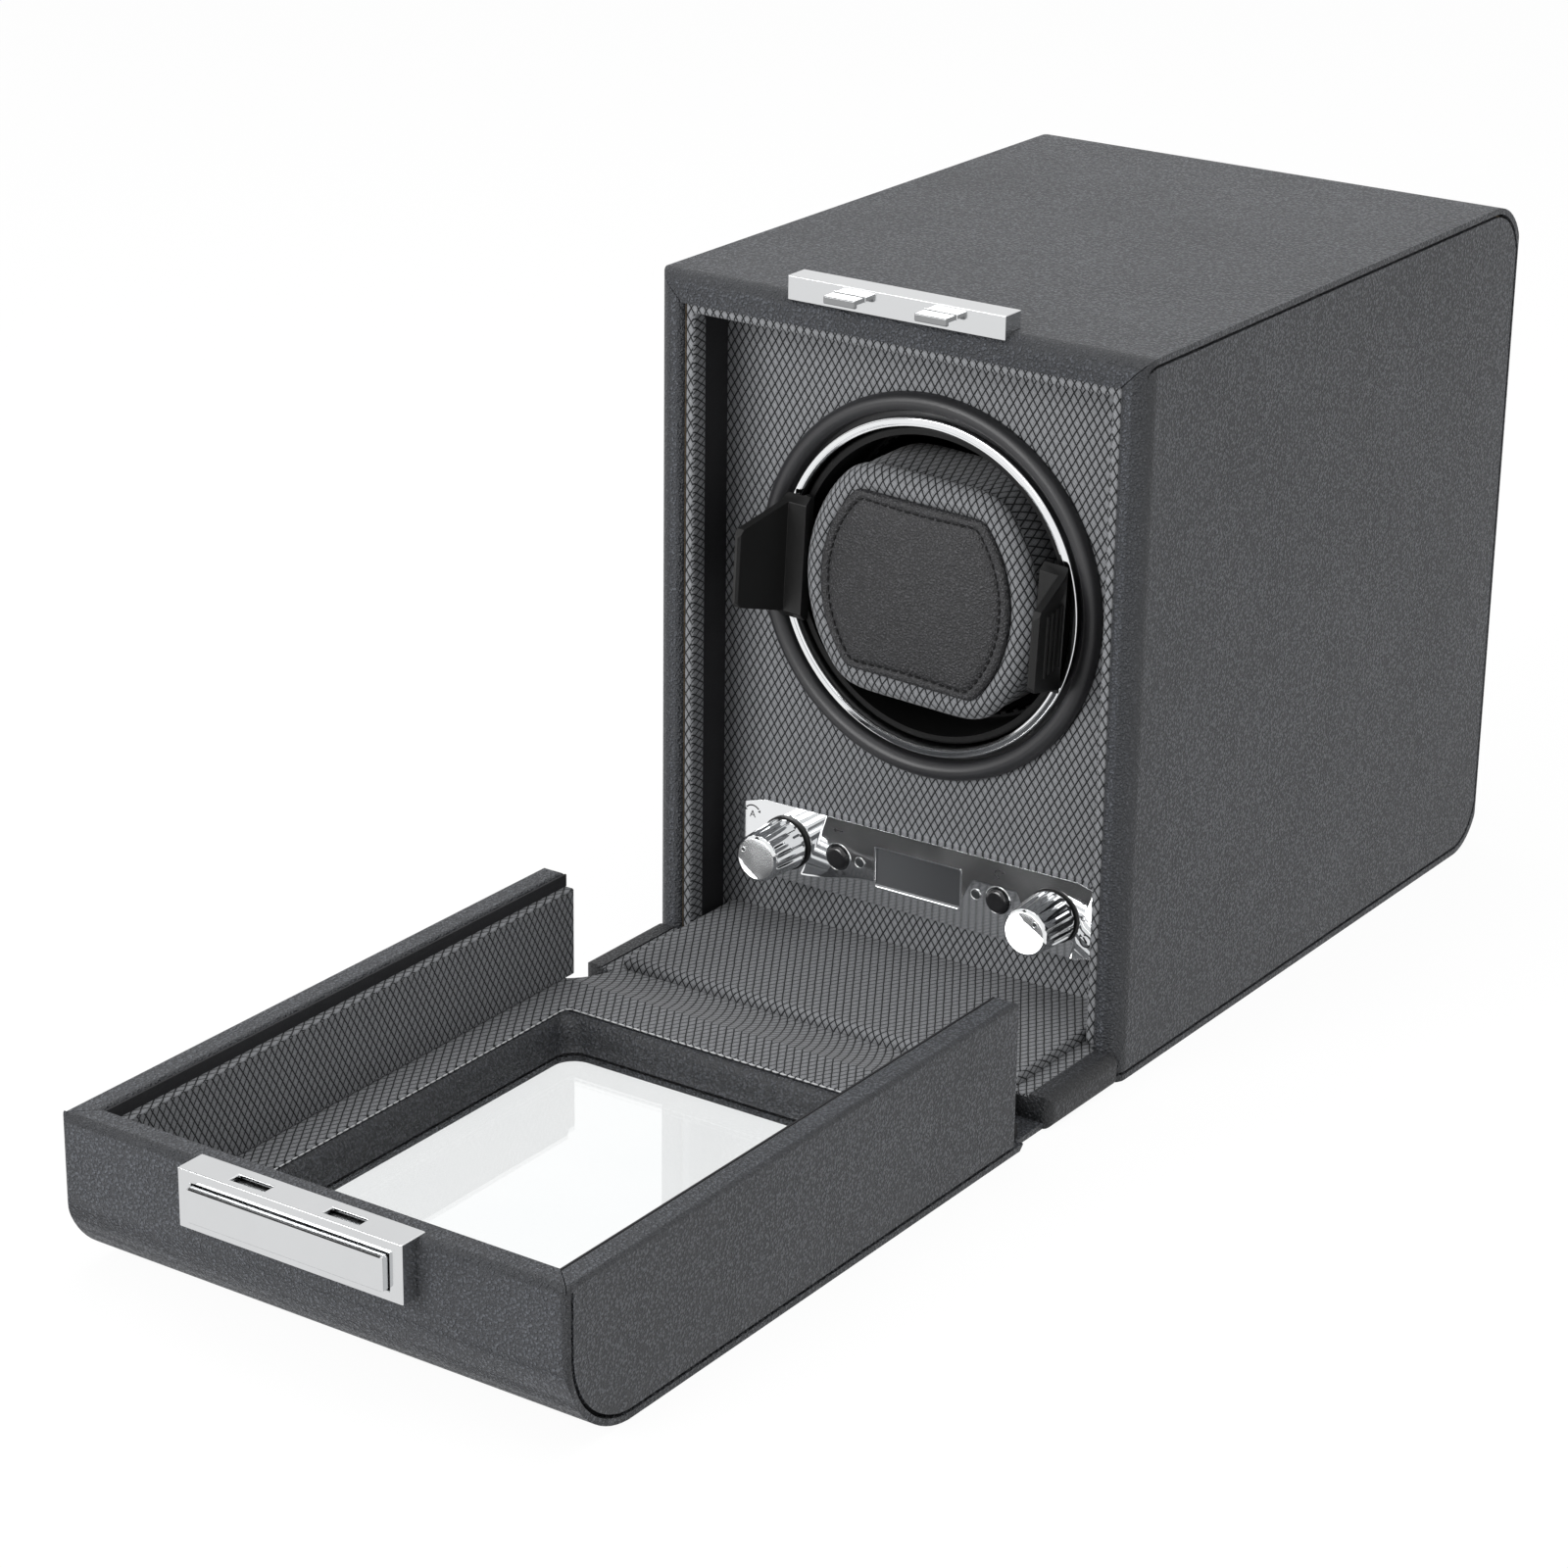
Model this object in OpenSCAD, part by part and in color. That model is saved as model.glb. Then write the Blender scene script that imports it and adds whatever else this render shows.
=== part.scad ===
// Single watch winder box: leather-wrapped case, turning drum with a padded watch cuff,
// control plate with two fluted knobs, and a hinged drop-front lid with a glass window.
// Stored open: the lid lies flat in front of the case. X right, Y to the back, Z up.

/* [Case] */
// Overall width of the case and the lid
case_w = 140; // [130:1:170]
// Depth of the case from front frame to back
case_d = 198; // [180:1:230]
// Height of the case
case_h = 184; // [176:1:210]
// Radius of the top back edge
top_back_r = 16; // [8:0.5:24]
// Radius of the bottom back edge
bottom_back_r = 14; // [8:0.5:24]
// Rounding of the edges round the front opening
front_edge_r = 4.5; // [2.5:0.5:6]
// Thickness of the leather and its backing
leather = 1.6; // [1.2:0.1:2]
// Thickness of the padded side panels
side_pad = 3; // [2.4:0.2:4]
// Dark groove between wrap and side panel
groove = 0.8; // [0.5:0.1:1.2]
// Width of the leather border round the opening
border = 7.5; // [7:0.1:10]
// Width of the fabric lip inside the border
lip_w = 2.8; // [2:0.1:4]
// Depth of the fabric lip inside the opening
lip_depth = 5.4; // [4:0.2:8]

/* [Front panel] */
// Recess of the fabric panel behind the front frame
recess = 19; // [17:0.5:24]
// Thickness of the panel board
panel_t = 5; // [4:0.5:6]
// Height of the drum axis above the base
axis_z = 109.8; // [108:0.2:112]
// Outer radius of the polished ring
ring_r = 43.9; // [43:0.1:45]
// Outer radius of the black surround
surround_r = 50; // [49:0.5:52]

/* [Controls] */
// Height of the control plate centre
plate_z = 32.2; // [31:0.2:36]
// Length of the control plate
plate_len = 110.4; // [106:0.2:114]
// Height of the control plate at its middle
plate_h = 20.8; // [20:0.2:23]
// Distance between the two knobs
knob_pitch = 80.8; // [78:0.2:84]
// Diameter of each knob at its base
knob_d = 14; // [11:0.1:14.5]
// Diameter of the face of each knob
knob_face_d = 12.6; // [10:0.1:13]
// Length of each knob
knob_len = 13; // [10:0.5:15]
// Number of flutes round a knob
knob_flutes = 16; // [12:1:28]
// Distance between the two push buttons
button_pitch = 48.4; // [46:0.2:50]
// Diameter of each push button
button_d = 6.7; // [6:0.1:7]
// Width of the display window
screen_w = 25.5; // [22:0.5:28]
// Height of the display window
screen_h = 10.4; // [10:0.1:12]

/* [Drive] */
// Outer radius of the turning cup
cup_r = 40.9; // [40.5:0.1:41]
// Depth of the turning cup
cup_depth = 57.5; // [54:0.5:60]
// Module of the drive gears
gear_module = 1.2; // [1.1:0.1:1.2]
// Teeth of the ring gear on the drum
drum_teeth = 60; // [56:4:60]
// Teeth of the motor pinion
pinion_teeth = 12; // [10:2:14]
// Radius of the drum shaft
shaft_r = 5; // [4:0.5:6]
// Running clearance of the shafts
run_gap = 0.05; // [0.02:0.01:0.1]

/* [Cuff] */
// Half width of the cuff cushion
cuff_w = 34; // [32:0.5:34]
// Half height of the cuff cushion
cuff_h = 30; // [27:0.5:30]
// Depth of the cuff cushion
cuff_d = 28; // [24:1:30]
// Reach of the finger wings from the axis
wing_reach = 44.5; // [43:0.5:46]
// How far the wings stand in front of the case
wing_proud = 3.3; // [2:0.1:4]
// Turn of the cuff in the drum, in degrees
cuff_turn = 2.5; // [0:0.5:5]

/* [Lid] */
// Height of the lid walls
lid_h = 40; // [36:1:46]
// Radius of the outer front edge of the lid
lid_edge_r = 23; // [14:0.5:26]
// Height of the inner frame that carries the window
lid_floor = 13; // [11:0.5:14]
// Gap between lid walls and the end of the sill
lid_gap = 16.3; // [16.2:0.1:18]
// Half width of the clear window
window_w = 47; // [40:0.5:48]
// Margin from the window to each end of the lid
window_margin = 26; // [24:0.5:34]

/* [Sill] */
// Length of the sill in front of the case
sill_len = 31.5; // [30:0.5:33]
// Height of the leather rim beside the sill
sill_rim = 8.3; // [8.1:0.1:8.4]
// Thickness of the fabric platform board
platform_t = 3.2; // [2.5:0.1:3.2]

/* [Latch] */
// Length of the latch and strike plates
latch_w = 62; // [56:1:68]
// Distance between the two hooks
hook_pitch = 26; // [20:1:30]
// Height of the latch plate
latch_h = 14.2; // [14.2:0.2:16]

/* [Show] */
// Sub-part to show

/* [Hidden] */
$fn = 96;
eps = 0.01;
half_w = case_w / 2;
front_y = -case_d / 2;
back_y = case_d / 2;
board_x = half_w - side_pad;
open_x = half_w - border;
open_z = case_h - border;
lip_x = open_x - lip_w;
lip_back = front_y + leather + lip_depth;
floor_t = 0.8;
floor_z = 8;
board_top = floor_z - floor_t;
rear_wall = 5.4;
panel_y = front_y + recess;
panel_back = panel_y + panel_t;
gap = 0.3;
plate_t = 2;
plate_y = panel_y - plate_t;
plate_end = 2.3;
plate_taper = 8;
collar_t = 0.7;
flute_r = 0.9;
flute_cut = 0.45;
cutout_w = 100;
cutout_h = 16.4;
board_y = panel_y + 7.4;
board_t = 1.6;
board_inset = 3.2;
screen_frame = 3.2;
bead_r = 2.4;
ring_w = 2.5;
ring_front = panel_y - 2;
ring_len = 8;
cup_front = panel_y + 0.5;
cup_back = cup_front + cup_depth;
cup_wall = 2;
cup_base = 3;
grip_in = 17.5;
grip_len = 6;
gear_face = 6;
gear_y = cup_back + 0.5;
bulk_y = cup_back + 9;
bulk_t = 6;
clip_in = 2.3;
tooth_out = 1;
tooth_in = 1.25;
mesh_slack = 0.15;
screw_r = 15;
drum_pitch_r = gear_module * drum_teeth / 2;
pinion_pitch_r = gear_module * pinion_teeth / 2;
motor_z = axis_z - drum_pitch_r - pinion_pitch_r - mesh_slack;
motor_shaft_r = 1.5;
motor_r = 13;
motor_len = 27;
cuff_front = front_y + 13;
cuff_back = cuff_front + cuff_d;
cuff_side_x = cuff_w * 0.6;
cap_t = 4;
seam_w = 0.8;
seam_d = 0.9;
wing_t = 2;
wing_root_x = wing_reach - 3;
wing_root_z = 16.5;
wing_mid_z = 14.6;
wing_tip_z = 10.4;
wing_rib_z = 8;
arm_z = 9;
arm_x = cuff_w + 0.2;
stem = 18;
pad_w = 27.8;
pad_h = 23.3;
pad_side = 18.6;
pad_t = 1.8;
sill_y = front_y - sill_len;
platform_y = sill_y + 2.4;
hinge_len = 10;
sill_x = half_w - 6;
lid_back = front_y - gap;
lid_outer_y = lid_back - lid_h;
pivot_z = 0.6;
pivot_y = lid_outer_y + pivot_z;
lid_front = pivot_y + pivot_z - case_h;
lid_near = sill_y - hinge_len;
lid_wall_y = sill_y - lid_gap;
lid_board_t = 3.6;
lid_board_z = leather + lid_board_t;
rim_x = open_x + gap + 0.6;
band_t = 0.6;
lining_t = 3;
lining_z = lid_h - 3.6;
rim_y = lid_front + half_w - rim_x;
frame_y = lid_wall_y - 3;
pane_rim = 3;
reveal_rim = 5;
win_front = lid_front + max(window_margin, lid_edge_r + pane_rim);
win_back = pivot_y - window_margin - 2.3;
win_slope = 2.8;
pane_t = 1.8;
latch_proud = 4.9;
latch_in = 3.1;
latch_front = lid_front - latch_proud;
latch_back = lid_front + latch_in;
latch_top = lid_h + 0.2;
latch_bottom = latch_top - latch_h;
latch_skin = 1;
latch_travel = 1;
bar_w = 54.4;
bar_h = 8.4;
bar_proud = 2;
strike_y = front_y + 0.2;
strike_d = 7;
strike_top = case_h + latch_proud - gap;
strike_bottom = case_h - 1.5;
hook_w = 9;
hook_t = 1.2;
hook_barb = 0.8;
hook_z = case_h + 1.4;
hook_len = 4.8;
hook_side = hook_w + 0.6;

// ---------- shared shapes ----------

// Box between two corners
module slab(x0, x1, y0, y1, z0, z1)
    translate([x0, y0, z0]) cube([x1 - x0, y1 - y0, z1 - z0]);

// Side outline (Y, Z) carried across the width w
module along_x(w)
    rotate([90, 0, 90]) linear_extrude(height = w, center = true) children();

// Front outline (X, Z) carried from y0 to y1
module along_y(y0, y1)
    translate([0, y1, 0]) rotate([90, 0, 0]) linear_extrude(height = y1 - y0) children();

// Material outside a corner arc of radius r, for a corner at the origin
module corner_bite(r)
    if (r > 0)
        difference() {
            translate([-1, -1]) square(r + 1);
            translate([r, r]) circle(r);
        }

// Rectangle with its own radius at each corner, anticlockwise from the lower left
module rrect(x0, x1, y0, y1, r)
    difference() {
        translate([x0, y0]) square([x1 - x0, y1 - y0]);
        translate([x0, y0]) corner_bite(r[0]);
        translate([x1, y0]) rotate(90) corner_bite(r[1]);
        translate([x1, y1]) rotate(180) corner_bite(r[2]);
        translate([x0, y1]) rotate(270) corner_bite(r[3]);
    }

// Turned shape on the drum axis: its outline is (radius, Y)
module drum_turned()
    translate([0, 0, axis_z]) rotate([-90, 0, 0]) rotate_extrude($fn = 144) children();

// Round bar along Y on a given X and Z
module rod(x, z, r, y0, y1)
    translate([x, y1, z]) rotate([90, 0, 0]) cylinder(r = r, h = y1 - y0);

// Turns the cuff and its socket about the drum axis
module cuff_turned()
    translate([0, 0, axis_z]) rotate([0, cuff_turn, 0]) translate([0, 0, -axis_z]) children();

// Left and right copies
module both_sides() {
    children();
    mirror([1, 0, 0]) children();
}

// ---------- case ----------

module case_side(i)
    rrect(front_y + i, back_y - i, i, case_h - i,
          [0, bottom_back_r - i, top_back_r - i, front_edge_r - i]);

module case_plan(i, s)
    rrect(-half_w + s, half_w - s, front_y + i, back_y - i,
          [front_edge_r - i, front_edge_r - i, 1.5, 1.5]);

// The case outline set in by i on the band and s on the sides
module case_solid(i, s)
    intersection() {
        along_x(case_w - 2 * s) case_side(i);
        linear_extrude(height = case_h) case_plan(i, s);
    }

// Part of the front frame that belongs to the right side panel
module right_front_member(x, drop)
    along_y(front_y - 1, front_y + leather)
        polygon([[x, 0], [half_w + 1, 0], [half_w + 1, case_h + 1 - drop],
                 [x, case_h - half_w + x - drop]]);

module carcass() color("#3a3028")
    difference() {
        case_solid(leather, side_pad);
        slab(-open_x, open_x, front_y - 1, back_y - leather - rear_wall, board_top, open_z);
        rod(socket_x, socket_z, socket_r, 0, back_y + 1);
    }

module body_wrap() color("#2b2c2e")
    difference() {
        case_solid(0, 0);
        along_x(2 * case_w) case_side(leather);
        slab(-open_x, open_x, front_y - 1, front_y + leather + eps, leather, open_z);
        both_sides() right_front_member(open_x - eps, 0);
        rod(socket_x, socket_z, socket_r, 0, back_y + 1);
    }

module side_panel()
    difference() {
        intersection() {
            case_solid(0, 0);
            union() {
                translate([board_x + side_pad, 0, 0])
                    along_x(2 * side_pad)
                        rrect(front_y + leather, back_y - leather - groove, leather + groove,
                              case_h - leather - groove,
                              [0, bottom_back_r - 2, top_back_r - 2, front_edge_r - leather]);
                right_front_member(open_x, gap);
            }
        }
        case_solid(leather, side_pad);
        slab(-half_w, half_w + 1, front_y - 1, back_y, -1, leather + groove);
        difference() {
            slab(-half_w, board_x + eps, front_y - 1, back_y, -1, case_h + 1);
            slab(-half_w, half_w, front_y - 2, front_y + leather, -2, case_h + 2);
        }
    }

module side_panel_right() color("#2f3032") side_panel();

module side_panel_left() color("#2f3032") mirror([1, 0, 0]) side_panel();

// Arch of thickness t inside half width x and height z, from y0 to y1
module arch(x, z, t, y0, y1)
    along_y(y0, y1)
        difference() {
            translate([-x, floor_z]) square([2 * x, z - floor_z]);
            translate([-x + t, floor_z - 1]) square([2 * (x - t), z - t - floor_z + 1]);
        }

module lip_frame() color("#6c6f72")
    arch(open_x, open_z, lip_w, front_y + leather, lip_back);

module inner_lining() color("#202122")
    arch(open_x, open_z, floor_t, lip_back, panel_y);

module front_panel() color("#6c6f72")
    difference() {
        slab(-open_x, open_x, panel_y, panel_back, board_top, open_z);
        rod(0, axis_z, ring_r + 3, panel_y - 1, panel_back + 1);
        slab(-cutout_w / 2, cutout_w / 2, panel_y - 1, panel_back + 1,
             plate_z - cutout_h / 2, plate_z + cutout_h / 2);
    }

module ring_surround() color("#1c1c1d")
    drum_turned() {
        difference() {
            translate([surround_r - bead_r, panel_y - 0.6]) circle(bead_r);
            translate([ring_r + 3, panel_y]) square([surround_r, bead_r]);
        }
        translate([ring_r + 1.3, panel_y - 0.6])
            square([surround_r - ring_r - 1.3, 0.6]);
        translate([ring_r, panel_y + 2]) square([3, 10]);
        translate([ring_r + 1.3, panel_y - 0.6]) square([1.7, 4]);
    }

module chrome_ring() color("#d8d9da")
    drum_turned()
        rrect(ring_r - ring_w, ring_r, ring_front, ring_front + ring_len, [1.1, 1.1, 0, 0]);

// ---------- controls ----------

module plate_outline() {
    w = plate_len / 2;
    h = plate_h / 2;
    intersection() {
        translate([0, plate_z])
            polygon([[-w, -h + plate_end], [-w + plate_taper, -h], [w - plate_taper, -h],
                     [w, -h + plate_end], [w, h - plate_end], [w - plate_taper, h],
                     [-w + plate_taper, h], [-w, h - plate_end]]);
        rrect(-w, w, plate_z - h, plate_z + h, [3.4, 3.4, 3.4, 3.4]);
    }
}

module control_plate() color("#cfd0d1")
    difference() {
        along_y(plate_y, panel_y) plate_outline();
        slab(-screen_w / 2, screen_w / 2, plate_y - 1, panel_y + 1,
             plate_z - screen_h / 2, plate_z + screen_h / 2);
        both_sides() {
            rod(knob_pitch / 2, plate_z, 3.5, plate_y - 1, panel_y + 1);
            rod(button_pitch / 2, plate_z, button_d / 2 + run_gap, plate_y - 1, panel_y + 1);
            rod(lamp_x, plate_z, lamp_r, plate_y - 1, panel_y + 1);
        }
    }

module screen_lens() color("#4a4e50")
    slab(-screen_w / 2, screen_w / 2, plate_y + 0.5, panel_y,
         plate_z - screen_h / 2, plate_z + screen_h / 2);

module screen_module() color("#26282a")
    slab(-screen_w / 2 - screen_frame, screen_w / 2 + screen_frame, panel_y, board_y,
         plate_z - cutout_h / 2, plate_z + cutout_h / 2);

module circuit_board() color("#245a3a") {
    slab(-plate_len / 2 + board_inset, plate_len / 2 - board_inset, board_y, board_y + board_t,
         plate_z - plate_h / 2, plate_z + plate_h / 2);
    both_sides() rod(button_pitch / 2, plate_z, 3, board_y - 2.4, board_y);
}

module encoders() color("#55585a")
    both_sides()
        difference() {
            union() {
                slab(knob_pitch / 2 - 6, knob_pitch / 2 + 6, panel_y, board_y,
                     plate_z - 6, plate_z + 6);
                rod(knob_pitch / 2, plate_z, 3.5, plate_y - 0.4, panel_y);
            }
            rod(knob_pitch / 2, plate_z, 2.5 + run_gap, plate_y - 1, board_y - 1);
        }

module lamp_lenses() color("#7d8284")
    both_sides() rod(lamp_x, plate_z, lamp_r, plate_y - 0.3, panel_y + 1);

// Tapered, fluted knob on its spindle, drawn on the right-hand axis
module knob() {
    x = knob_pitch / 2;
    r = knob_d / 2;
    face_r = knob_face_d / 2;
    y0 = plate_y - 1 - knob_len;
    y1 = plate_y - collar_t - 0.2;
    difference() {
        translate([x, 0, plate_z]) rotate([-90, 0, 0])
            rotate_extrude()
                polygon([[0, y0], [face_r - 0.8, y0], [face_r, y0 + 1], [r, y1 - 0.6],
                         [r - 0.6, y1], [0, y1]]);
        for (i = [0 : knob_flutes - 1])
            translate([x, 0, plate_z]) rotate([0, (i + 0.5) * 360 / knob_flutes, 0])
                translate([r + flute_r - flute_cut, y1 + 1, 0])
                    rotate([90, 0, -atan((r - face_r) / (y1 - y0))])
                        cylinder(r = flute_r, h = knob_len - 0.6, $fn = 24);
        rod(x + 2.8, plate_z + 2.8, 0.6, y0 - 1, y0 + 0.5);
    }
    rod(x, plate_z, 2.5, y1 - eps, board_y - 2);
}

module knob_collar()
    difference() {
        rod(knob_pitch / 2, plate_z, knob_d / 2 + 0.25, plate_y - collar_t, plate_y);
        rod(knob_pitch / 2, plate_z, 3.6, plate_y - collar_t - 1, plate_y + 1);
    }

module knob_right() color("#dadbdc") knob();

module knob_left() color("#dadbdc") mirror([1, 0, 0]) knob();

module knob_collar_right() color("#1b1b1c") knob_collar();

module knob_collar_left() color("#1b1b1c") mirror([1, 0, 0]) knob_collar();

// Push button with a domed cap, drawn on the right-hand axis
module push_button()
    translate([button_pitch / 2, 0, plate_z]) rotate([-90, 0, 0])
        rotate_extrude() {
            rrect(0, button_d / 2, plate_y - 1.6, panel_y + 0.6, [0, 1.4, 0, 0]);
            translate([0, panel_y + 0.3]) square([button_d / 2 + 0.8, 1]);
            translate([0, panel_y + 1]) square([2.2, 3.1]);
        }

module button_right() color("#232425") push_button();

module button_left() color("#232425") mirror([1, 0, 0]) push_button();

// ---------- drive ----------

// Spur gear outline with straight-flanked teeth
module gear_outline(n, pitch_r) {
    out_r = pitch_r + tooth_out;
    in_r = pitch_r - tooth_in;
    half = gear_module * 3.1416 / 4 - 0.12;
    circle(in_r);
    for (i = [0 : n - 1])
        rotate(i * 360 / n)
            polygon([[in_r - 0.6, -half - 0.42], [pitch_r, -half], [out_r, -half + 0.4],
                     [out_r, half - 0.4], [pitch_r, half], [in_r - 0.6, half + 0.42]]);
}

module rear_bulkhead() color("#4a3c30")
    difference() {
        slab(-open_x, open_x, bulk_y, bulk_y + bulk_t, board_top, open_z);
        rod(0, axis_z, shaft_r + 4, bulk_y - 1, bulk_y + bulk_t + 1);
        rod(0, motor_z, 5.2, bulk_y - 1, bulk_y + bulk_t + 1);
        both_sides() rod(9, motor_z, 1.2, bulk_y - 1, bulk_y + bulk_t + 1);
        rod(open_x - 16, 22, 6, bulk_y - 1, bulk_y + bulk_t + 1);
    }

module bearing_bush() color("#b08d4a")
    drum_turned() {
        translate([shaft_r + run_gap, bulk_y - 1.5]) square([4 - run_gap, bulk_t + 3.5]);
        translate([shaft_r + 2, bulk_y - 1.5]) square([5, 1.5]);
    }

module gear_motor() color("#a9acaf")
    difference() {
        union() {
            rod(0, motor_z, motor_r, bulk_y + bulk_t, bulk_y + bulk_t + motor_len);
            rod(0, motor_z, 5.2, bulk_y - 0.8, bulk_y + bulk_t);
        }
        rod(0, motor_z, motor_shaft_r + run_gap, bulk_y - 2, bulk_y + bulk_t + 12);
        both_sides() rod(9, motor_z, 1.2, bulk_y, bulk_y + bulk_t + 3);
    }

module motor_screws() color("#8f9396")
    both_sides() {
        rod(9, motor_z, 1.2, bulk_y, bulk_y + bulk_t + 3);
        rod(9, motor_z, 2.2, bulk_y - 1.4, bulk_y);
    }

module power_socket() color("#1a1a1a")
    difference() {
        union() {
            rod(socket_x, socket_z, socket_r, back_y - 12, back_y);
            rod(socket_x, socket_z, socket_r + 1.5, back_y, back_y + 1.2);
        }
        rod(socket_x, socket_z, plug_r, back_y - 10, back_y + 2);
    }

module drum_cup() color("#151516")
    difference() {
        drum_turned()
            rrect(0, cup_r, cup_front, cup_back, [0, 0.8, 2, 0]);
        rod(0, axis_z, cup_r - cup_wall, cup_front - 1, cup_back - cup_base);
        rod(0, axis_z, shaft_r, cup_front, cup_back + 1);
        hub_holes();
    }

module hub_holes()
    for (a = [0 : 90 : 270])
        translate([0, 0, axis_z]) rotate([0, a, 0]) translate([0, 0, -axis_z])
            rod(0, axis_z + screw_r, 1.2, cup_back - cup_base - 1, gear_y + gear_face + 1);

module grip_ring() color("#101011")
    along_y(cup_front + grip_in, cup_front + grip_in + grip_len)
        translate([0, axis_z]) difference() {
            circle(cup_r - cup_wall);
            difference() {
                circle(cup_r - cup_wall - 0.7);
                for (i = [0 : 59])
                    rotate(i * 6)
                        translate([cup_r - cup_wall - 1.3, -0.8]) square([1.3, 1.6]);
            }
        }

module cuff_socket() color("#1a1a1b")
    cuff_turned() along_y(cup_back - cup_base - 30, cup_back - cup_base)
        translate([-stem / 2 - 3, axis_z - stem / 2 - 3])
            difference() {
                square(stem + 6);
                translate([3 - 0.1, 3 - 0.1]) square(stem + 0.2);
            }

module drum_gear() color("#d9d6c8")
    difference() {
        along_y(gear_y, gear_y + gear_face)
            translate([0, axis_z]) difference() {
                gear_outline(drum_teeth, drum_pitch_r);
                circle(shaft_r);
            }
        drum_turned()
            translate([drum_pitch_r * 0.56, gear_y + 2.5]) square([drum_pitch_r * 0.3, gear_face]);
        hub_holes();
    }

module drum_shaft() color("#b9bcbe")
    drum_turned() {
        translate([0, cup_back - cup_base]) square([shaft_r, bulk_y + bulk_t + clip_in + 5.7 - cup_back + cup_base]);
        translate([0, gear_y + gear_face]) square([shaft_r + 3, bulk_y - 1.8 - gear_y - gear_face]);
        translate([shaft_r - eps, cup_back]) square([screw_r - 7, gear_y - cup_back]);
    }

module shaft_clip() color("#8f9396")
    drum_turned()
        translate([shaft_r, bulk_y + bulk_t + clip_in]) square([3, 1.4]);

module hub_screws() color("#8f9396")
    intersection() {
        union() {
            hub_holes();
            for (a = [0 : 90 : 270])
                translate([0, 0, axis_z]) rotate([0, a, 0]) translate([0, 0, -axis_z])
                    rod(0, axis_z + screw_r, 2.2, cup_back - cup_base - 1.4, cup_back - cup_base);
        }
        slab(-half_w, half_w, cup_back - cup_base - 1.4, gear_y + gear_face, 0, case_h);
    }

module pinion() color("#d9d6c8")
    along_y(gear_y, gear_y + gear_face)
        translate([0, motor_z]) difference() {
            rotate(180 / pinion_teeth + 90) gear_outline(pinion_teeth, pinion_pitch_r);
            circle(motor_shaft_r);
        }

module motor_shaft() color("#b9bcbe")
    rod(0, motor_z, motor_shaft_r, gear_y - 0.4, bulk_y + bulk_t + 11.5);

// ---------- watch cuff ----------

// Six-sided outline with rounded flanks, half width w and half height h
module cuff_outline(w, h, side)
    translate([0, axis_z])
        intersection() {
            polygon([[-side, -h], [side, -h], [w + 0.8, -3], [w + 0.8, 3],
                     [side, h], [-side, h], [-w - 0.8, 3], [-w - 0.8, -3]]);
            square([2 * w, 2 * h], center = true);
        }

module cuff_cushion() color("#6c6f72")
    cuff_turned() difference() {
        along_y(cuff_front, cuff_back) cuff_outline(cuff_w, cuff_h, cuff_side_x);
        difference() {
            slab(-case_w, case_w, cuff_front + cap_t, cuff_front + cap_t + seam_w,
                 0, case_h);
            along_y(front_y, cuff_back)
                cuff_outline(cuff_w - seam_d, cuff_h - seam_d, cuff_side_x - seam_d / 2);
        }
    }

module cuff_pad() color("#26272a")
    cuff_turned() along_y(cuff_front - pad_t, cuff_front) cuff_outline(pad_w, pad_h, pad_side);

// Finger wing that turns outwards over the ring and then forwards, with grip ribs on its outer face
module wing() {
    root_y = ring_front - 1.6;
    tip_y = front_y - wing_proud;
    run = (wing_reach - wing_root_x) / (root_y - tip_y);
    intersection() {
        translate([0, 0, axis_z])
            linear_extrude(height = 2 * wing_root_z, center = true)
                polygon([[arm_x, ring_front], [arm_x, root_y - wing_t],
                         [wing_root_x - wing_t, root_y - wing_t],
                         [wing_reach - wing_t, tip_y + 0.6], [wing_reach - 1.3, tip_y],
                         [wing_reach, tip_y + 0.9], [wing_root_x, root_y - 0.6],
                         [wing_root_x - 0.6, root_y], [arm_x + wing_t, root_y],
                         [arm_x + wing_t, ring_front]]);
        translate([0, 0, axis_z])
            along_x(case_w)
                polygon([[ring_front, wing_root_z], [root_y, wing_root_z],
                         [root_y - 2, wing_mid_z], [tip_y + 1.6, wing_tip_z],
                         [tip_y, wing_tip_z - 1.8], [tip_y, 1.8 - wing_tip_z],
                         [tip_y + 1.6, -wing_tip_z], [root_y - 2, -wing_mid_z],
                         [root_y, -wing_root_z], [ring_front, -wing_root_z]]);
    }
    for (i = [0 : 3]) {
        y = root_y - 3.4 - i * 3;
        x = wing_root_x + (root_y - y) * run;
        translate([0, 0, axis_z])
            linear_extrude(height = 2 * wing_rib_z, center = true)
                polygon([[x - 0.8, y + 0.4], [x + 0.2, y + 0.7], [x + 0.7, y],
                         [x + 0.4, y - 0.6], [x - 0.6, y - 0.6]]);
    }
}

module cuff_clip() color("#121213")
    cuff_turned() {
        both_sides() {
            wing();
            slab(arm_x, arm_x + wing_t, ring_front - eps, cuff_back + 2.5,
                 axis_z - arm_z, axis_z + arm_z);
        }
        slab(-arm_x - eps, arm_x + eps, cuff_back, cuff_back + 2.5, axis_z - arm_z,
             axis_z + arm_z);
        slab(-stem / 2, stem / 2, cuff_back, cup_back - cup_base - 1,
             axis_z - stem / 2, axis_z + stem / 2);
    }

// ---------- sill and hinge ----------

module sill_core()
    union() {
        rrect(-half_w + leather, half_w - leather, leather, sill_rim - leather, [1, 1, 1, 1]);
        translate([-sill_x, leather]) square([2 * sill_x, board_top - leather]);
    }

module sill_board() color("#3a3028") {
    along_y(sill_y + leather, front_y) sill_core();
    slab(-open_x + 1, open_x - 1, front_y - eps, front_y + leather, leather, board_top);
}

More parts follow.
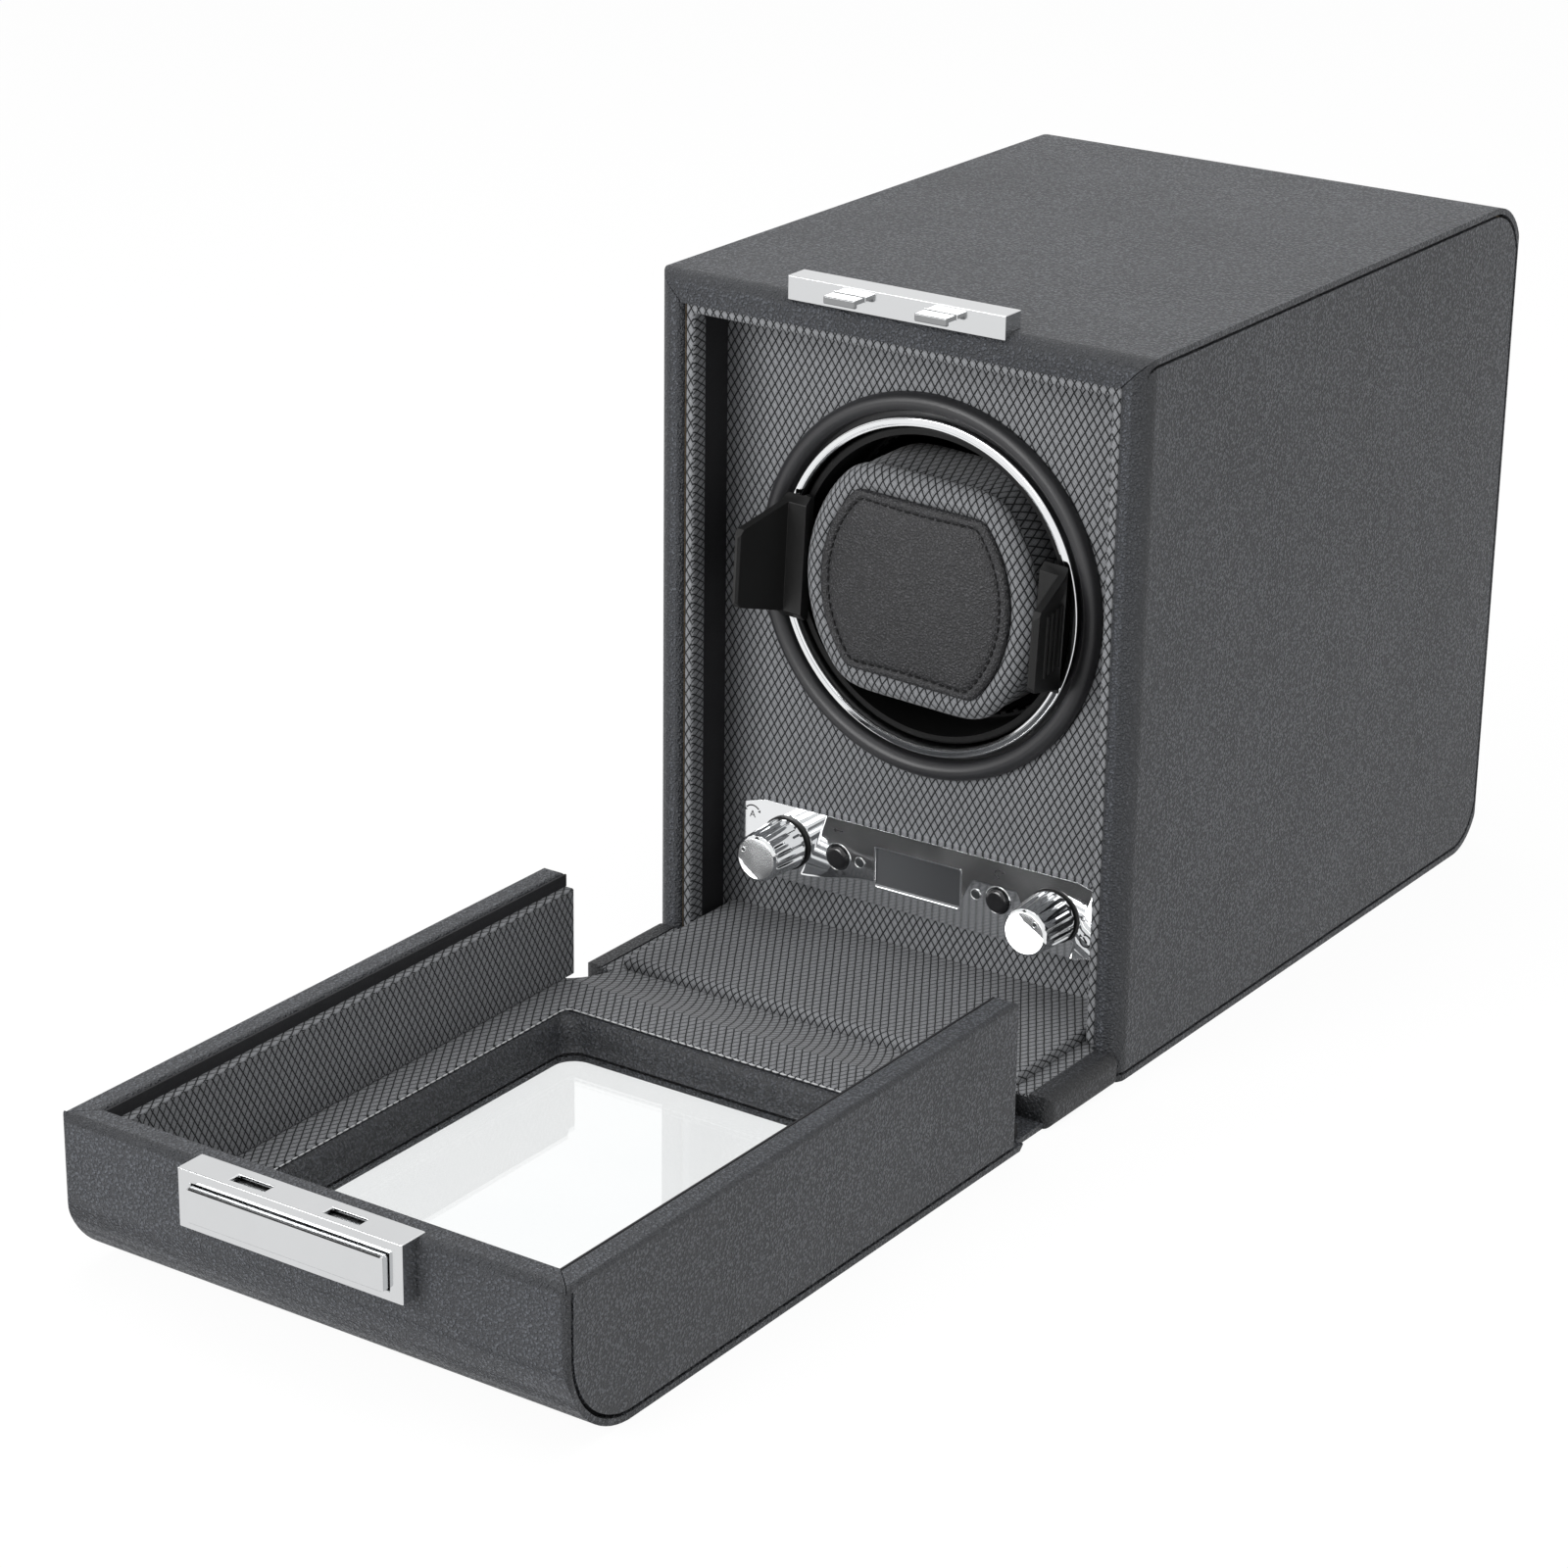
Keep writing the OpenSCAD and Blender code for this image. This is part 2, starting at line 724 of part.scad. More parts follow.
module sill_wrap() color("#2b2c2e")
    difference() {
        intersection() {
            along_y(sill_y, front_y)
                rrect(-half_w, half_w, 0, sill_rim, [2, 2, 2.6, 2.6]);
            linear_extrude(height = case_h)
                rrect(-half_w, half_w, sill_y, front_y, [3, 3, 0, 0]);
        }
        along_y(sill_y + leather, front_y + 1) sill_core();
        slab(-sill_x, sill_x, sill_y - 1, front_y + 1, board_top, sill_rim + 1);
    }

module sill_fabric() color("#6c6f72") {
    slab(-sill_x, sill_x, sill_y, front_y, board_top, floor_z);
    slab(-open_x, open_x, front_y - eps, panel_y, board_top, floor_z);
}

module platform() color("#6c6f72")
    intersection() {
        along_y(platform_y, panel_y)
            rrect(-lip_x + 0.7, lip_x - 0.7, floor_z, floor_z + platform_t, [0.3, 0.3, 1.2, 1.2]);
        along_x(case_w)
            rrect(platform_y, panel_y, floor_z, floor_z + platform_t, [0.3, 0, 0, 2.2]);
    }

module hinge_leather() color("#2b2c2e")
    slab(-half_w + 2, half_w - 2, lid_near - 2, sill_y, 0, leather);

module hinge_fabric() color("#6c6f72")
    along_x(2 * (rim_x - lining_t))
        polygon([[sill_y, floor_z - floor_t], [sill_y, floor_z],
                 [frame_y, lid_floor], [frame_y, lid_floor - floor_t]]);

// ---------- lid ----------

module lid_side_outline(i)
    rrect(lid_front + i, lid_near, i, lid_h - i, [lid_edge_r - i, 0, 0, 1.9 - i]);

module lid_solid(i, s)
    intersection() {
        along_x(case_w - 2 * s) lid_side_outline(i);
        linear_extrude(height = lid_h)
            rrect(-half_w + s, half_w - s, lid_front + i, lid_near, [2, 2, 0, 0]);
    }

// Rim strip on top of the right-hand wall, mitred at the front
module right_rim(drop)
    translate([0, 0, lid_h - leather])
        linear_extrude(height = lid_h)
            polygon([[rim_x, lid_wall_y + 1], [rim_x, rim_y + drop],
                     [half_w + 1, lid_front - 1 + drop], [half_w + 1, lid_wall_y + 1]]);

module lid_opening(z0, x, y0, y1)
    slab(-x, x, y0, y1, z0, lid_h + 1);

module latch_pocket()
    slab(-latch_w / 2, latch_w / 2, latch_front - 1, latch_back, latch_bottom, lid_h + 1);

module lid_board() color("#3a3028")
    difference() {
        intersection() {
            lid_solid(leather, side_pad);
            union() {
                slab(-half_w, half_w, lid_front, lid_near, 0, lid_board_z);
                slab(-half_w, half_w, lid_front, lid_wall_y - leather, 0, lid_h);
            }
        }
        lid_opening(lid_board_z, rim_x, rim_y, lid_near + 1);
        slab(-window_w - reveal_rim, window_w + reveal_rim, win_front - reveal_rim,
             win_back + reveal_rim, -1, lid_h);
        latch_pocket();
        both_sides() rod(22, latch_bottom + 5.5, 2.2, latch_back - 1, latch_back + 2.4);
    }

module lid_wrap() color("#2b2c2e")
    difference() {
        lid_solid(0, 0);
        along_x(2 * case_w) lid_side_outline(leather);
        lid_opening(lid_floor, rim_x, rim_y, lid_near + 1);
        both_sides() right_rim(0);
        slab(-half_w - 1, half_w + 1, lid_near - 2, lid_near + 1, -1, lid_h + 1);
        slab(-half_w - 1, half_w + 1, lid_wall_y, lid_near + 1, lid_board_z, lid_h + 1);
        linear_extrude(height = lid_h)
            rrect(-window_w, window_w, win_front, win_back, [6, 6, 6, 6]);
        latch_pocket();
    }

module lid_side()
    difference() {
        intersection() {
            lid_solid(0, 0);
            slab(0, half_w + 1, lid_front - 1, lid_wall_y, 0, lid_h + 1);
            union() {
                translate([board_x + side_pad, 0, 0])
                    along_x(2 * side_pad)
                        rrect(lid_front + leather + groove, lid_near, leather + groove,
                              lid_h - leather, [lid_edge_r - 2, 0, 0, 0]);
                right_rim(gap);
                slab(rim_x, half_w, lid_wall_y - leather, lid_wall_y, lid_board_z, lid_h);
            }
        }
        difference() {
            lid_solid(leather, side_pad);
            slab(0, half_w, lid_wall_y - leather, lid_near + 1, lid_board_z, lid_h + 1);
        }
        slab(0, rim_x, lid_front - 1, lid_near + 1, -1, lid_h + 1);
        slab(0, half_w + 1, lid_front - 1, lid_near + 1, -1, leather + groove);
    }

module lid_side_right() color("#2f3032") lid_side();

module lid_side_left() color("#2f3032") mirror([1, 0, 0]) lid_side();

// Three-sided tray wall of thickness t inside half width x and front y, up to height z1
module tray_wall(x, y, t, z0, z1)
    difference() {
        slab(-x, x, y, lid_wall_y, z0, z1);
        slab(-x + t, x - t, y + t, lid_wall_y + 1, z0 - 1, z1 + 1);
    }

module lid_band() color("#161617")
    tray_wall(rim_x, rim_y, band_t, lining_z, lid_h - 0.4);

module lid_lining() color("#6c6f72")
    tray_wall(rim_x, rim_y, lining_t, lid_floor, lining_z);

module window_frame() color("#6c6f72")
    difference() {
        intersection() {
            slab(-rim_x, rim_x, rim_y, frame_y, lid_board_z, lid_floor);
            lid_solid(leather, side_pad);
        }
        slab(-window_w - reveal_rim, window_w + reveal_rim, win_front - reveal_rim,
             win_back + reveal_rim, 0, lid_floor - 1.2);
        slab(-window_w - win_slope - 0.6, window_w + win_slope + 0.6,
             win_front - win_slope - 0.6, win_back + win_slope + 0.6, 0, lid_floor + 1);
    }

// Clear space of the window, narrower at the glass than at the fabric
module window_void()
    intersection() {
        along_y(lid_front - 10, lid_near + 10)
            polygon([[-window_w, leather + pane_t - eps], [window_w, leather + pane_t - eps],
                     [window_w + win_slope, lid_floor], [-window_w - win_slope, lid_floor]]);
        along_x(case_w)
            polygon([[win_front, leather + pane_t - eps], [win_back, leather + pane_t - eps],
                     [win_back + win_slope, lid_floor], [win_front - win_slope, lid_floor]]);
    }

module window_reveal() color("#242527")
    difference() {
        slab(-window_w - reveal_rim, window_w + reveal_rim, win_front - reveal_rim,
             win_back + reveal_rim, leather + pane_t, lid_floor - 1.2);
        window_void();
    }

module window_glass() color("#cfe0e4", 0.35)
    slab(-window_w - pane_rim, window_w + pane_rim, win_front - pane_rim,
         win_back + pane_rim, leather, leather + pane_t);

// ---------- latch ----------

// Chrome housing on the lid, with two slots for the hooks and a window for the push bar
module latch_plate() color("#d8d9da")
    difference() {
        slab(-latch_w / 2, latch_w / 2, latch_front, latch_back, latch_bottom, latch_top);
        slab(-latch_w / 2 + 0.8, latch_w / 2 - 0.8, latch_front + latch_skin, latch_back + 1,
             latch_bottom + 0.9, latch_top - latch_skin);
        both_sides()
            slab(hook_pitch / 2 - hook_side / 2, hook_pitch / 2 + hook_side / 2,
                 slot_y0, slot_y1, latch_top - 3, latch_top + 1);
        slab(-bar_w / 2 - 0.2, bar_w / 2 + 0.2, latch_front - 1, latch_front + 2,
             bar_z - 0.2, bar_z + bar_h + 0.2);
    }

module push_bar() color("#e2e3e4")
    intersection() {
        along_y(latch_front - bar_proud, latch_front + 0.8)
            rrect(-bar_w / 2, bar_w / 2, bar_z, bar_z + bar_h, [0.6, 0.6, 0.6, 0.6]);
        along_x(case_w)
            rrect(latch_front - bar_proud, latch_front + 1, bar_z, bar_z + bar_h,
                  [0.8, 0, 0, 0.8]);
    }

// Catch shelf behind the hooks, joined to the push bar by two arms
module latch_catch() color("#8f9396") {
    slab(-28, 28, catch_y, latch_back - 1.8, catch_z, catch_z + 1.2);
    slab(-28, 28, latch_back - 3, latch_back - 1.8, bar_z + 0.6, catch_z + 0.1);
    both_sides()
        slab(20, 26, latch_front + 0.8, latch_back - 1.8, bar_z + 0.8, bar_z + 6.6);
}

module latch_springs() color("#b9bcbe")
    both_sides()
        translate([22, 0, latch_bottom + 5.5]) rotate([-90, 0, 0])
            rotate_extrude($fn = 48)
                translate([0, latch_back - 1.8])
                    polygon([[1, 0], [1.9, 0], [1.9, 0.5], [1.5, 1.05], [1.9, 1.6],
                             [1.9, 2.1], [1.5, 2.65], [1.9, 3.2], [1.9, 4.2], [1, 4.2],
                             [1, 3.2], [0.9, 2.65], [1, 2.1], [1, 1.6], [0.9, 1.05],
                             [1, 0.5]]);

// Strike plate on the case with two hooks that bend down at the tip
module strike_plate() color("#d8d9da") {
    difference() {
        slab(-latch_w / 2, latch_w / 2, strike_y, strike_y + strike_d,
             strike_bottom, strike_top);
        case_solid(0, 0);
    }
    both_sides()
        translate([hook_pitch / 2, 0, 0])
            along_x(hook_w)
                polygon([[strike_y + 1, hook_z], [strike_y + 1, hook_z + hook_t],
                         [strike_y - hook_len, hook_z + hook_t],
                         [strike_y - hook_len, hook_z - hook_barb + 0.3],
                         [strike_y - hook_len + 0.4, hook_z - hook_barb],
                         [strike_y - hook_len + 1.4, hook_z - hook_barb],
                         [strike_y - hook_len + 1.4, hook_z]]);
}

// ---------- values shared by several pieces ----------

socket_x = 38;
socket_z = 24;
socket_r = 5;
plug_r = 2.75;
lamp_x = 17.6;
lamp_r = 1.2;
fold_sum = pivot_y + pivot_z;
slot_y0 = fold_sum - (hook_z + hook_t) - 0.3;
slot_y1 = fold_sum - (hook_z - hook_barb) + 0.9;
bar_z = latch_bottom + 2.6;
catch_z = lid_outer_y * -1 + strike_y - hook_len + 1.4 + 0.3;
catch_y = fold_sum - hook_z + 0.3;

// ---------- selection ----------

carcass();
body_wrap();
side_panel_left();
side_panel_right();
lip_frame();
inner_lining();
front_panel();
ring_surround();
chrome_ring();
control_plate();
screen_lens();
screen_module();
circuit_board();
encoders();
lamp_lenses();
strike_plate();
sill_board();
sill_wrap();
sill_fabric();
platform();
rear_bulkhead();
bearing_bush();
gear_motor();
motor_screws();
power_socket();
drum_cup();
grip_ring();
cuff_socket();
drum_gear();
drum_shaft();
shaft_clip();
hub_screws();
pinion();
motor_shaft();
cuff_cushion();
cuff_pad();
cuff_clip();
knob_left();
knob_collar_left();
knob_right();
knob_collar_right();
button_left();
button_right();
hinge_leather();
hinge_fabric();
lid_board();
lid_wrap();
lid_side_left();
lid_side_right();
lid_band();
lid_lining();
window_frame();
window_reveal();
window_glass();
latch_plate();
push_bar();
latch_catch();
latch_springs();
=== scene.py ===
"""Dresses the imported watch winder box: leather, diamond cloth, chrome, padded cuff, window and stage."""

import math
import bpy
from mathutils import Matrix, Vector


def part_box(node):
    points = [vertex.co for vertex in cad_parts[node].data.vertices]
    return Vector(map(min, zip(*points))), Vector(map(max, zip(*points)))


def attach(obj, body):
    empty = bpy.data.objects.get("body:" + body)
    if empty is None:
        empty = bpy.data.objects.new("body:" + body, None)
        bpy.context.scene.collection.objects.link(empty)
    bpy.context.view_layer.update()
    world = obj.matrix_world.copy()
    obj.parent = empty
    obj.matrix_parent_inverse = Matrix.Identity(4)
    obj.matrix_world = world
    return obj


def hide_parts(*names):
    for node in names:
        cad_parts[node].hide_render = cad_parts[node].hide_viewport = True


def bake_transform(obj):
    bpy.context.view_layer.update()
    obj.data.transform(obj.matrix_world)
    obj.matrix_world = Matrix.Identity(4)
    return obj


bl_info = {
    "name": "Watch Winder Box Dresser",
    "version": (1, 0, 0),
    "blender": (4, 5, 0),
    "location": "View3D > Sidebar > Winder",
    "description": "Adds the covered, stitched and plated surfaces of a watch winder box to its CAD frame",
    "category": "Object",
}

import bmesh
import bpy
from bpy.props import FloatProperty, FloatVectorProperty, IntProperty, PointerProperty
from mathutils import Matrix, Vector

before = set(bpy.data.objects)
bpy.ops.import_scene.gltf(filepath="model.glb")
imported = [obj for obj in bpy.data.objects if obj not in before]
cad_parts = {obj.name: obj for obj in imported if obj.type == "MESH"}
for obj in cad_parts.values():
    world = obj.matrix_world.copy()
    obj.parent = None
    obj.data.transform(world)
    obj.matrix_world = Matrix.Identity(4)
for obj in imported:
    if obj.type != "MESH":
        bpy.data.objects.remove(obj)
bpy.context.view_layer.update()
MM = 0.001

# Places of the main pieces, read from the frame, in metres.
PLATE_LOW, PLATE_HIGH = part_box("control_plate")
PLATE_Z = (PLATE_LOW.z + PLATE_HIGH.z) / 2
RING_LOW, RING_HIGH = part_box("chrome_ring")
AXIS_Z = (RING_LOW.z + RING_HIGH.z) / 2
CUSHION_LOW, CUSHION_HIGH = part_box("cuff_cushion")
PAD_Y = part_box("cuff_pad")[0].y
KNOB_X = (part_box("knob_right")[0].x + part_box("knob_right")[1].x) / 2
BUTTON_X = (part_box("button_right")[0].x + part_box("button_right")[1].x) / 2
REVEAL_LOW, REVEAL_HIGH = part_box("window_reveal")
REVEAL_Y = (REVEAL_LOW.y + REVEAL_HIGH.y) / 2
REVEAL_HALF_Y = (REVEAL_HIGH.y - REVEAL_LOW.y) / 2

# Sizes of details, in metres.
STRIKE_REACH = 4.8 * MM     # how far the strike's two hooks stand out in front of its plate
MARK_DEPTH = 0.04 * MM      # how far a printed mark stands off its face
LAMP_RADIUS = 1.2 * MM
SPINDLE_RADIUS = 2.5 * MM
KNOB_GAP = 0.9 * MM         # between a knob's back and the control plate


# ---------------------------------------------------------------- sizes and colours

class WinderSizes(bpy.types.PropertyGroup):
    """Sizes of the finishes and small parts."""

    diamond_width: FloatProperty(
        name="Diamond width", description="Width of one diamond of the woven cloth",
        default=2.25 * MM, min=1 * MM, max=6 * MM, unit="LENGTH", precision=5)
    diamond_height: FloatProperty(
        name="Diamond height", description="Height of one diamond of the woven cloth",
        default=3.7 * MM, min=1 * MM, max=8 * MM, unit="LENGTH", precision=5)
    grain: FloatProperty(
        name="Grain size", description="Size of one pebble of the leather grain",
        default=0.95 * MM, min=0.2 * MM, max=3 * MM, unit="LENGTH", precision=5)
    fold: FloatProperty(
        name="Leather fold", description="Rounding where the leather turns over an outer edge",
        default=2.2 * MM, min=0.5 * MM, max=3 * MM, unit="LENGTH", precision=5)
    seam: FloatProperty(
        name="Leather seam edge", description="Rounding where two leather panels meet at a seam",
        default=0.6 * MM, min=0.2 * MM, max=1 * MM, unit="LENGTH", precision=5)
    stitch: FloatProperty(
        name="Stitch length", description="Length of one stitch on the cuff pad",
        default=1.75 * MM, min=1 * MM, max=4 * MM, unit="LENGTH", precision=5)
    stitch_inset: FloatProperty(
        name="Stitch inset", description="Distance of the stitches from the edge of the cuff pad",
        default=2.6 * MM, min=1 * MM, max=6 * MM, unit="LENGTH", precision=5)
    flutes: IntProperty(
        name="Knob flutes", description="Number of flutes round each knob",
        default=16, min=8, max=40)
    cushion_width: FloatProperty(
        name="Cushion width", description="Half of the width of the cuff cushion",
        default=34 * MM, min=20 * MM, max=36 * MM, unit="LENGTH", precision=5)
    cushion_height: FloatProperty(
        name="Cushion height", description="Half of the height of the cuff cushion",
        default=30 * MM, min=20 * MM, max=34 * MM, unit="LENGTH", precision=5)
    pad_width: FloatProperty(
        name="Pad width", description="Half of the width of the stitched pad",
        default=27.8 * MM, min=15 * MM, max=30 * MM, unit="LENGTH", precision=5)
    pad_height: FloatProperty(
        name="Pad height", description="Half of the height of the stitched pad",
        default=23.6 * MM, min=15 * MM, max=28 * MM, unit="LENGTH", precision=5)
    pad_crown: FloatProperty(
        name="Pad crown", description="Height of the dome of the cuff pad",
        default=1.1 * MM, min=0, max=4 * MM, unit="LENGTH", precision=5)
    cuff_turn: FloatProperty(
        name="Cuff turn", description="How far the cuff sits turned clockwise in the drum",
        default=math.radians(2.5), min=-0.5, max=0.5, unit="ROTATION")


class WinderColours(bpy.types.PropertyGroup):
    """Colours of the finishes."""

    leather: FloatVectorProperty(
        name="Leather", description="Colour of the grained leather", subtype="COLOR",
        size=3, min=0, max=1, default=(0.064, 0.069, 0.08))
    cloth: FloatVectorProperty(
        name="Cloth", description="Colour of the diamonds of the cloth", subtype="COLOR",
        size=3, min=0, max=1, default=(0.200, 0.205, 0.215))
    thread: FloatVectorProperty(
        name="Line thread", description="Colour of the crossing lines of the cloth", subtype="COLOR",
        size=3, min=0, max=1, default=(0.008, 0.009, 0.010))
    soft_black: FloatVectorProperty(
        name="Soft black", description="Colour of linings and soft mouldings", subtype="COLOR",
        size=3, min=0, max=1, default=(0.022, 0.022, 0.024))
    chrome: FloatVectorProperty(
        name="Chrome", description="Colour of the plated parts", subtype="COLOR",
        size=3, min=0, max=1, default=(0.82, 0.83, 0.84))


# ---------------------------------------------------------------- node tree helpers

class Nodes:
    """An emptied node tree with short ways to add and join nodes."""

    def __init__(self, tree):
        self.tree = tree
        self.tree.nodes.clear()

    def join(self, source, target):
        self.tree.links.new(source, target)

    def node(self, kind, **values):
        made = self.tree.nodes.new(kind)
        for key, value in values.items():
            setattr(made, key, value)
        return made

    def put(self, socket, value):
        if isinstance(value, bpy.types.NodeSocket):
            self.join(value, socket)
        else:
            socket.default_value = value

    def math(self, operation, a, b=0.0, c=0.0, clamp=False):
        made = self.node("ShaderNodeMath", operation=operation, use_clamp=clamp)
        for socket, value in zip(made.inputs, (a, b, c)):
            self.put(socket, value)
        return made.outputs[0]

    def split(self, vector):
        """The three parts of a vector."""
        parts = self.node("ShaderNodeSeparateXYZ")
        self.join(vector, parts.inputs[0])
        return parts.outputs

    def remap(self, value, low, high, to_low=0.0, to_high=1.0, smooth=True):
        made = self.node("ShaderNodeMapRange",
                         interpolation_type="SMOOTHSTEP" if smooth else "LINEAR")
        for name, number in (("From Min", low), ("From Max", high),
                             ("To Min", to_low), ("To Max", to_high)):
            made.inputs[name].default_value = number
        self.put(made.inputs["Value"], value)
        return made.outputs[0]

    def mix(self, factor, a, b):
        made = self.node("ShaderNodeMix", data_type="RGBA")
        self.put(made.inputs["Factor"], factor)
        for name, value in (("A", a), ("B", b)):
            socket = [s for s in made.inputs if s.name == name and s.type == "RGBA"][0]
            if isinstance(value, bpy.types.NodeSocket):
                self.join(value, socket)
            else:
                socket.default_value = (*value[:3], 1.0)
        return [s for s in made.outputs if s.type == "RGBA"][0]

    def place(self, scale=(1, 1, 1), uv=False):
        coords = self.node("ShaderNodeTexCoord")
        mapping = self.node("ShaderNodeMapping")
        mapping.inputs["Scale"].default_value = scale
        self.join(coords.outputs["UV" if uv else "Object"], mapping.inputs["Vector"])
        return mapping.outputs[0]

    def noise(self, vector, scale, detail=2.0, rough=0.5):
        made = self.node("ShaderNodeTexNoise")
        self.join(vector, made.inputs["Vector"])
        made.inputs["Scale"].default_value = scale
        made.inputs["Detail"].default_value = detail
        made.inputs["Roughness"].default_value = rough
        return made.outputs["Fac"]

    def cells(self, vector, scale):
        """Distance to the middle of the nearest cell, with soft borders."""
        made = self.node("ShaderNodeTexVoronoi", feature="SMOOTH_F1")
        self.join(vector, made.inputs["Vector"])
        made.inputs["Scale"].default_value = scale
        made.inputs["Smoothness"].default_value = 0.3
        return made.outputs["Distance"]


class Shader(Nodes):
    """A new material that ends in a principled surface."""

    def __init__(self, name):
        self.material = bpy.data.materials.new(name)
        self.material.use_nodes = True
        super().__init__(self.material.node_tree)
        self.out = self.node("ShaderNodeOutputMaterial")
        self.bsdf = self.node("ShaderNodeBsdfPrincipled")
        self.join(self.bsdf.outputs[0], self.out.inputs["Surface"])

    def set(self, **values):
        for key, value in values.items():
            self.put(self.bsdf.inputs[key.replace("_", " ")], value)

    def bump(self, height, distance, strength=1.0):
        made = self.node("ShaderNodeBump")
        made.inputs["Strength"].default_value = strength
        made.inputs["Distance"].default_value = distance
        self.join(height, made.inputs["Height"])
        self.join(made.outputs[0], self.bsdf.inputs["Normal"])

    def plating(self, colour, tones, rough, haze, share=None):
        """Metal between two tones of a colour, mixed by a share or by the film that dulls its gloss; the
        strike's share is painted shade.
        """
        film = self.noise(self.place(), 90.0, 3.0, 0.6)
        first, last = (rgba(colour, tone) for tone in tones)
        self.set(Base_Color=self.mix(film if share is None else share, first, last), Metallic=1.0,
                 Roughness=self.remap(film, 0.35, 0.75, rough, rough + haze))


def colours():
    return bpy.context.scene.winder_colours


def sizes():
    return bpy.context.scene.winder_sizes


def rgba(colour, gain=1.0):
    return (*[min(1.0, channel * gain) for channel in colour], 1.0)


FINISHES = {}


def finish(name):
    """One shared material for each named finish, made when it is first asked for."""
    if name not in FINISHES:
        FINISHES[name] = MAKERS[name]()
    return FINISHES[name]


def grained_leather(name, colour, grain, gain=1.0, depth=0.8, rough=0.42):
    """Embossed leather: low domes of two sizes, with painted shade in the valleys and painted light on the
    dome tops, and darker rounded folds that are partly burnish and partly painted shade.
    """
    s = Shader(name)
    place = s.place()
    warp = s.node("ShaderNodeVectorMath", operation="MULTIPLY_ADD")
    swirl = s.node("ShaderNodeTexNoise")
    s.join(place, swirl.inputs["Vector"])
    swirl.inputs["Scale"].default_value = 1.1 / grain
    swirl.inputs["Detail"].default_value = 1.0
    s.join(swirl.outputs["Color"], warp.inputs[0])
    warp.inputs[1].default_value = (grain * 0.55,) * 3
    s.join(place, warp.inputs[2])
    large = s.remap(s.cells(warp.outputs[0], 1.15 / grain), 0.1, 0.68, 1.0, 0.0)
    small = s.remap(s.cells(warp.outputs[0], 2.1 / grain), 0.1, 0.68, 1.0, 0.0)
    dome = s.math("MULTIPLY_ADD", large, 0.65, s.math("MULTIPLY", small, 0.35))
    fine = s.noise(place, 3.4 / grain, 2.0, 0.6)
    mottle = s.noise(place, 26.0, 3.0, 0.55)
    broad = s.noise(place, 0.16 / grain, 3.0, 0.6)
    height = s.math("MULTIPLY_ADD", broad, 1.1, s.math("MULTIPLY_ADD", fine, 0.25, dome))
    tone = s.math("MULTIPLY_ADD", fine, 0.3, s.math("MULTIPLY_ADD", mottle, 0.3, dome))
    # The colour mixes random tone with painted shade and light: valleys darker and dome tops lighter,
    # standing in for the light on the relief.
    grain_tone_and_relief_shade = s.mix(s.remap(tone, 0.35, 1.05), rgba(colour, 0.4 * gain), rgba(colour, 1.34 * gain))
    # Rounded folds are darkened: partly burnished leather, partly painted shade of the dark band that light
    # leaves on a rounded edge.
    fold = s.node("ShaderNodeAttribute", attribute_name="fold")
    fold_burnish_and_shade = s.math("MULTIPLY", fold.outputs["Fac"], s.remap(mottle, 0.3, 0.7, 0.5, 0.85))
    s.set(Base_Color=s.mix(fold_burnish_and_shade, grain_tone_and_relief_shade, rgba(colour, 0.34 * gain)),
          Roughness=s.remap(tone, 0.3, 1.2, rough + 0.15, rough - 0.07, smooth=False))
    s.set(Specular_IOR_Level=0.5)
    s.bump(height, grain * depth, 1.0)
    return s.material


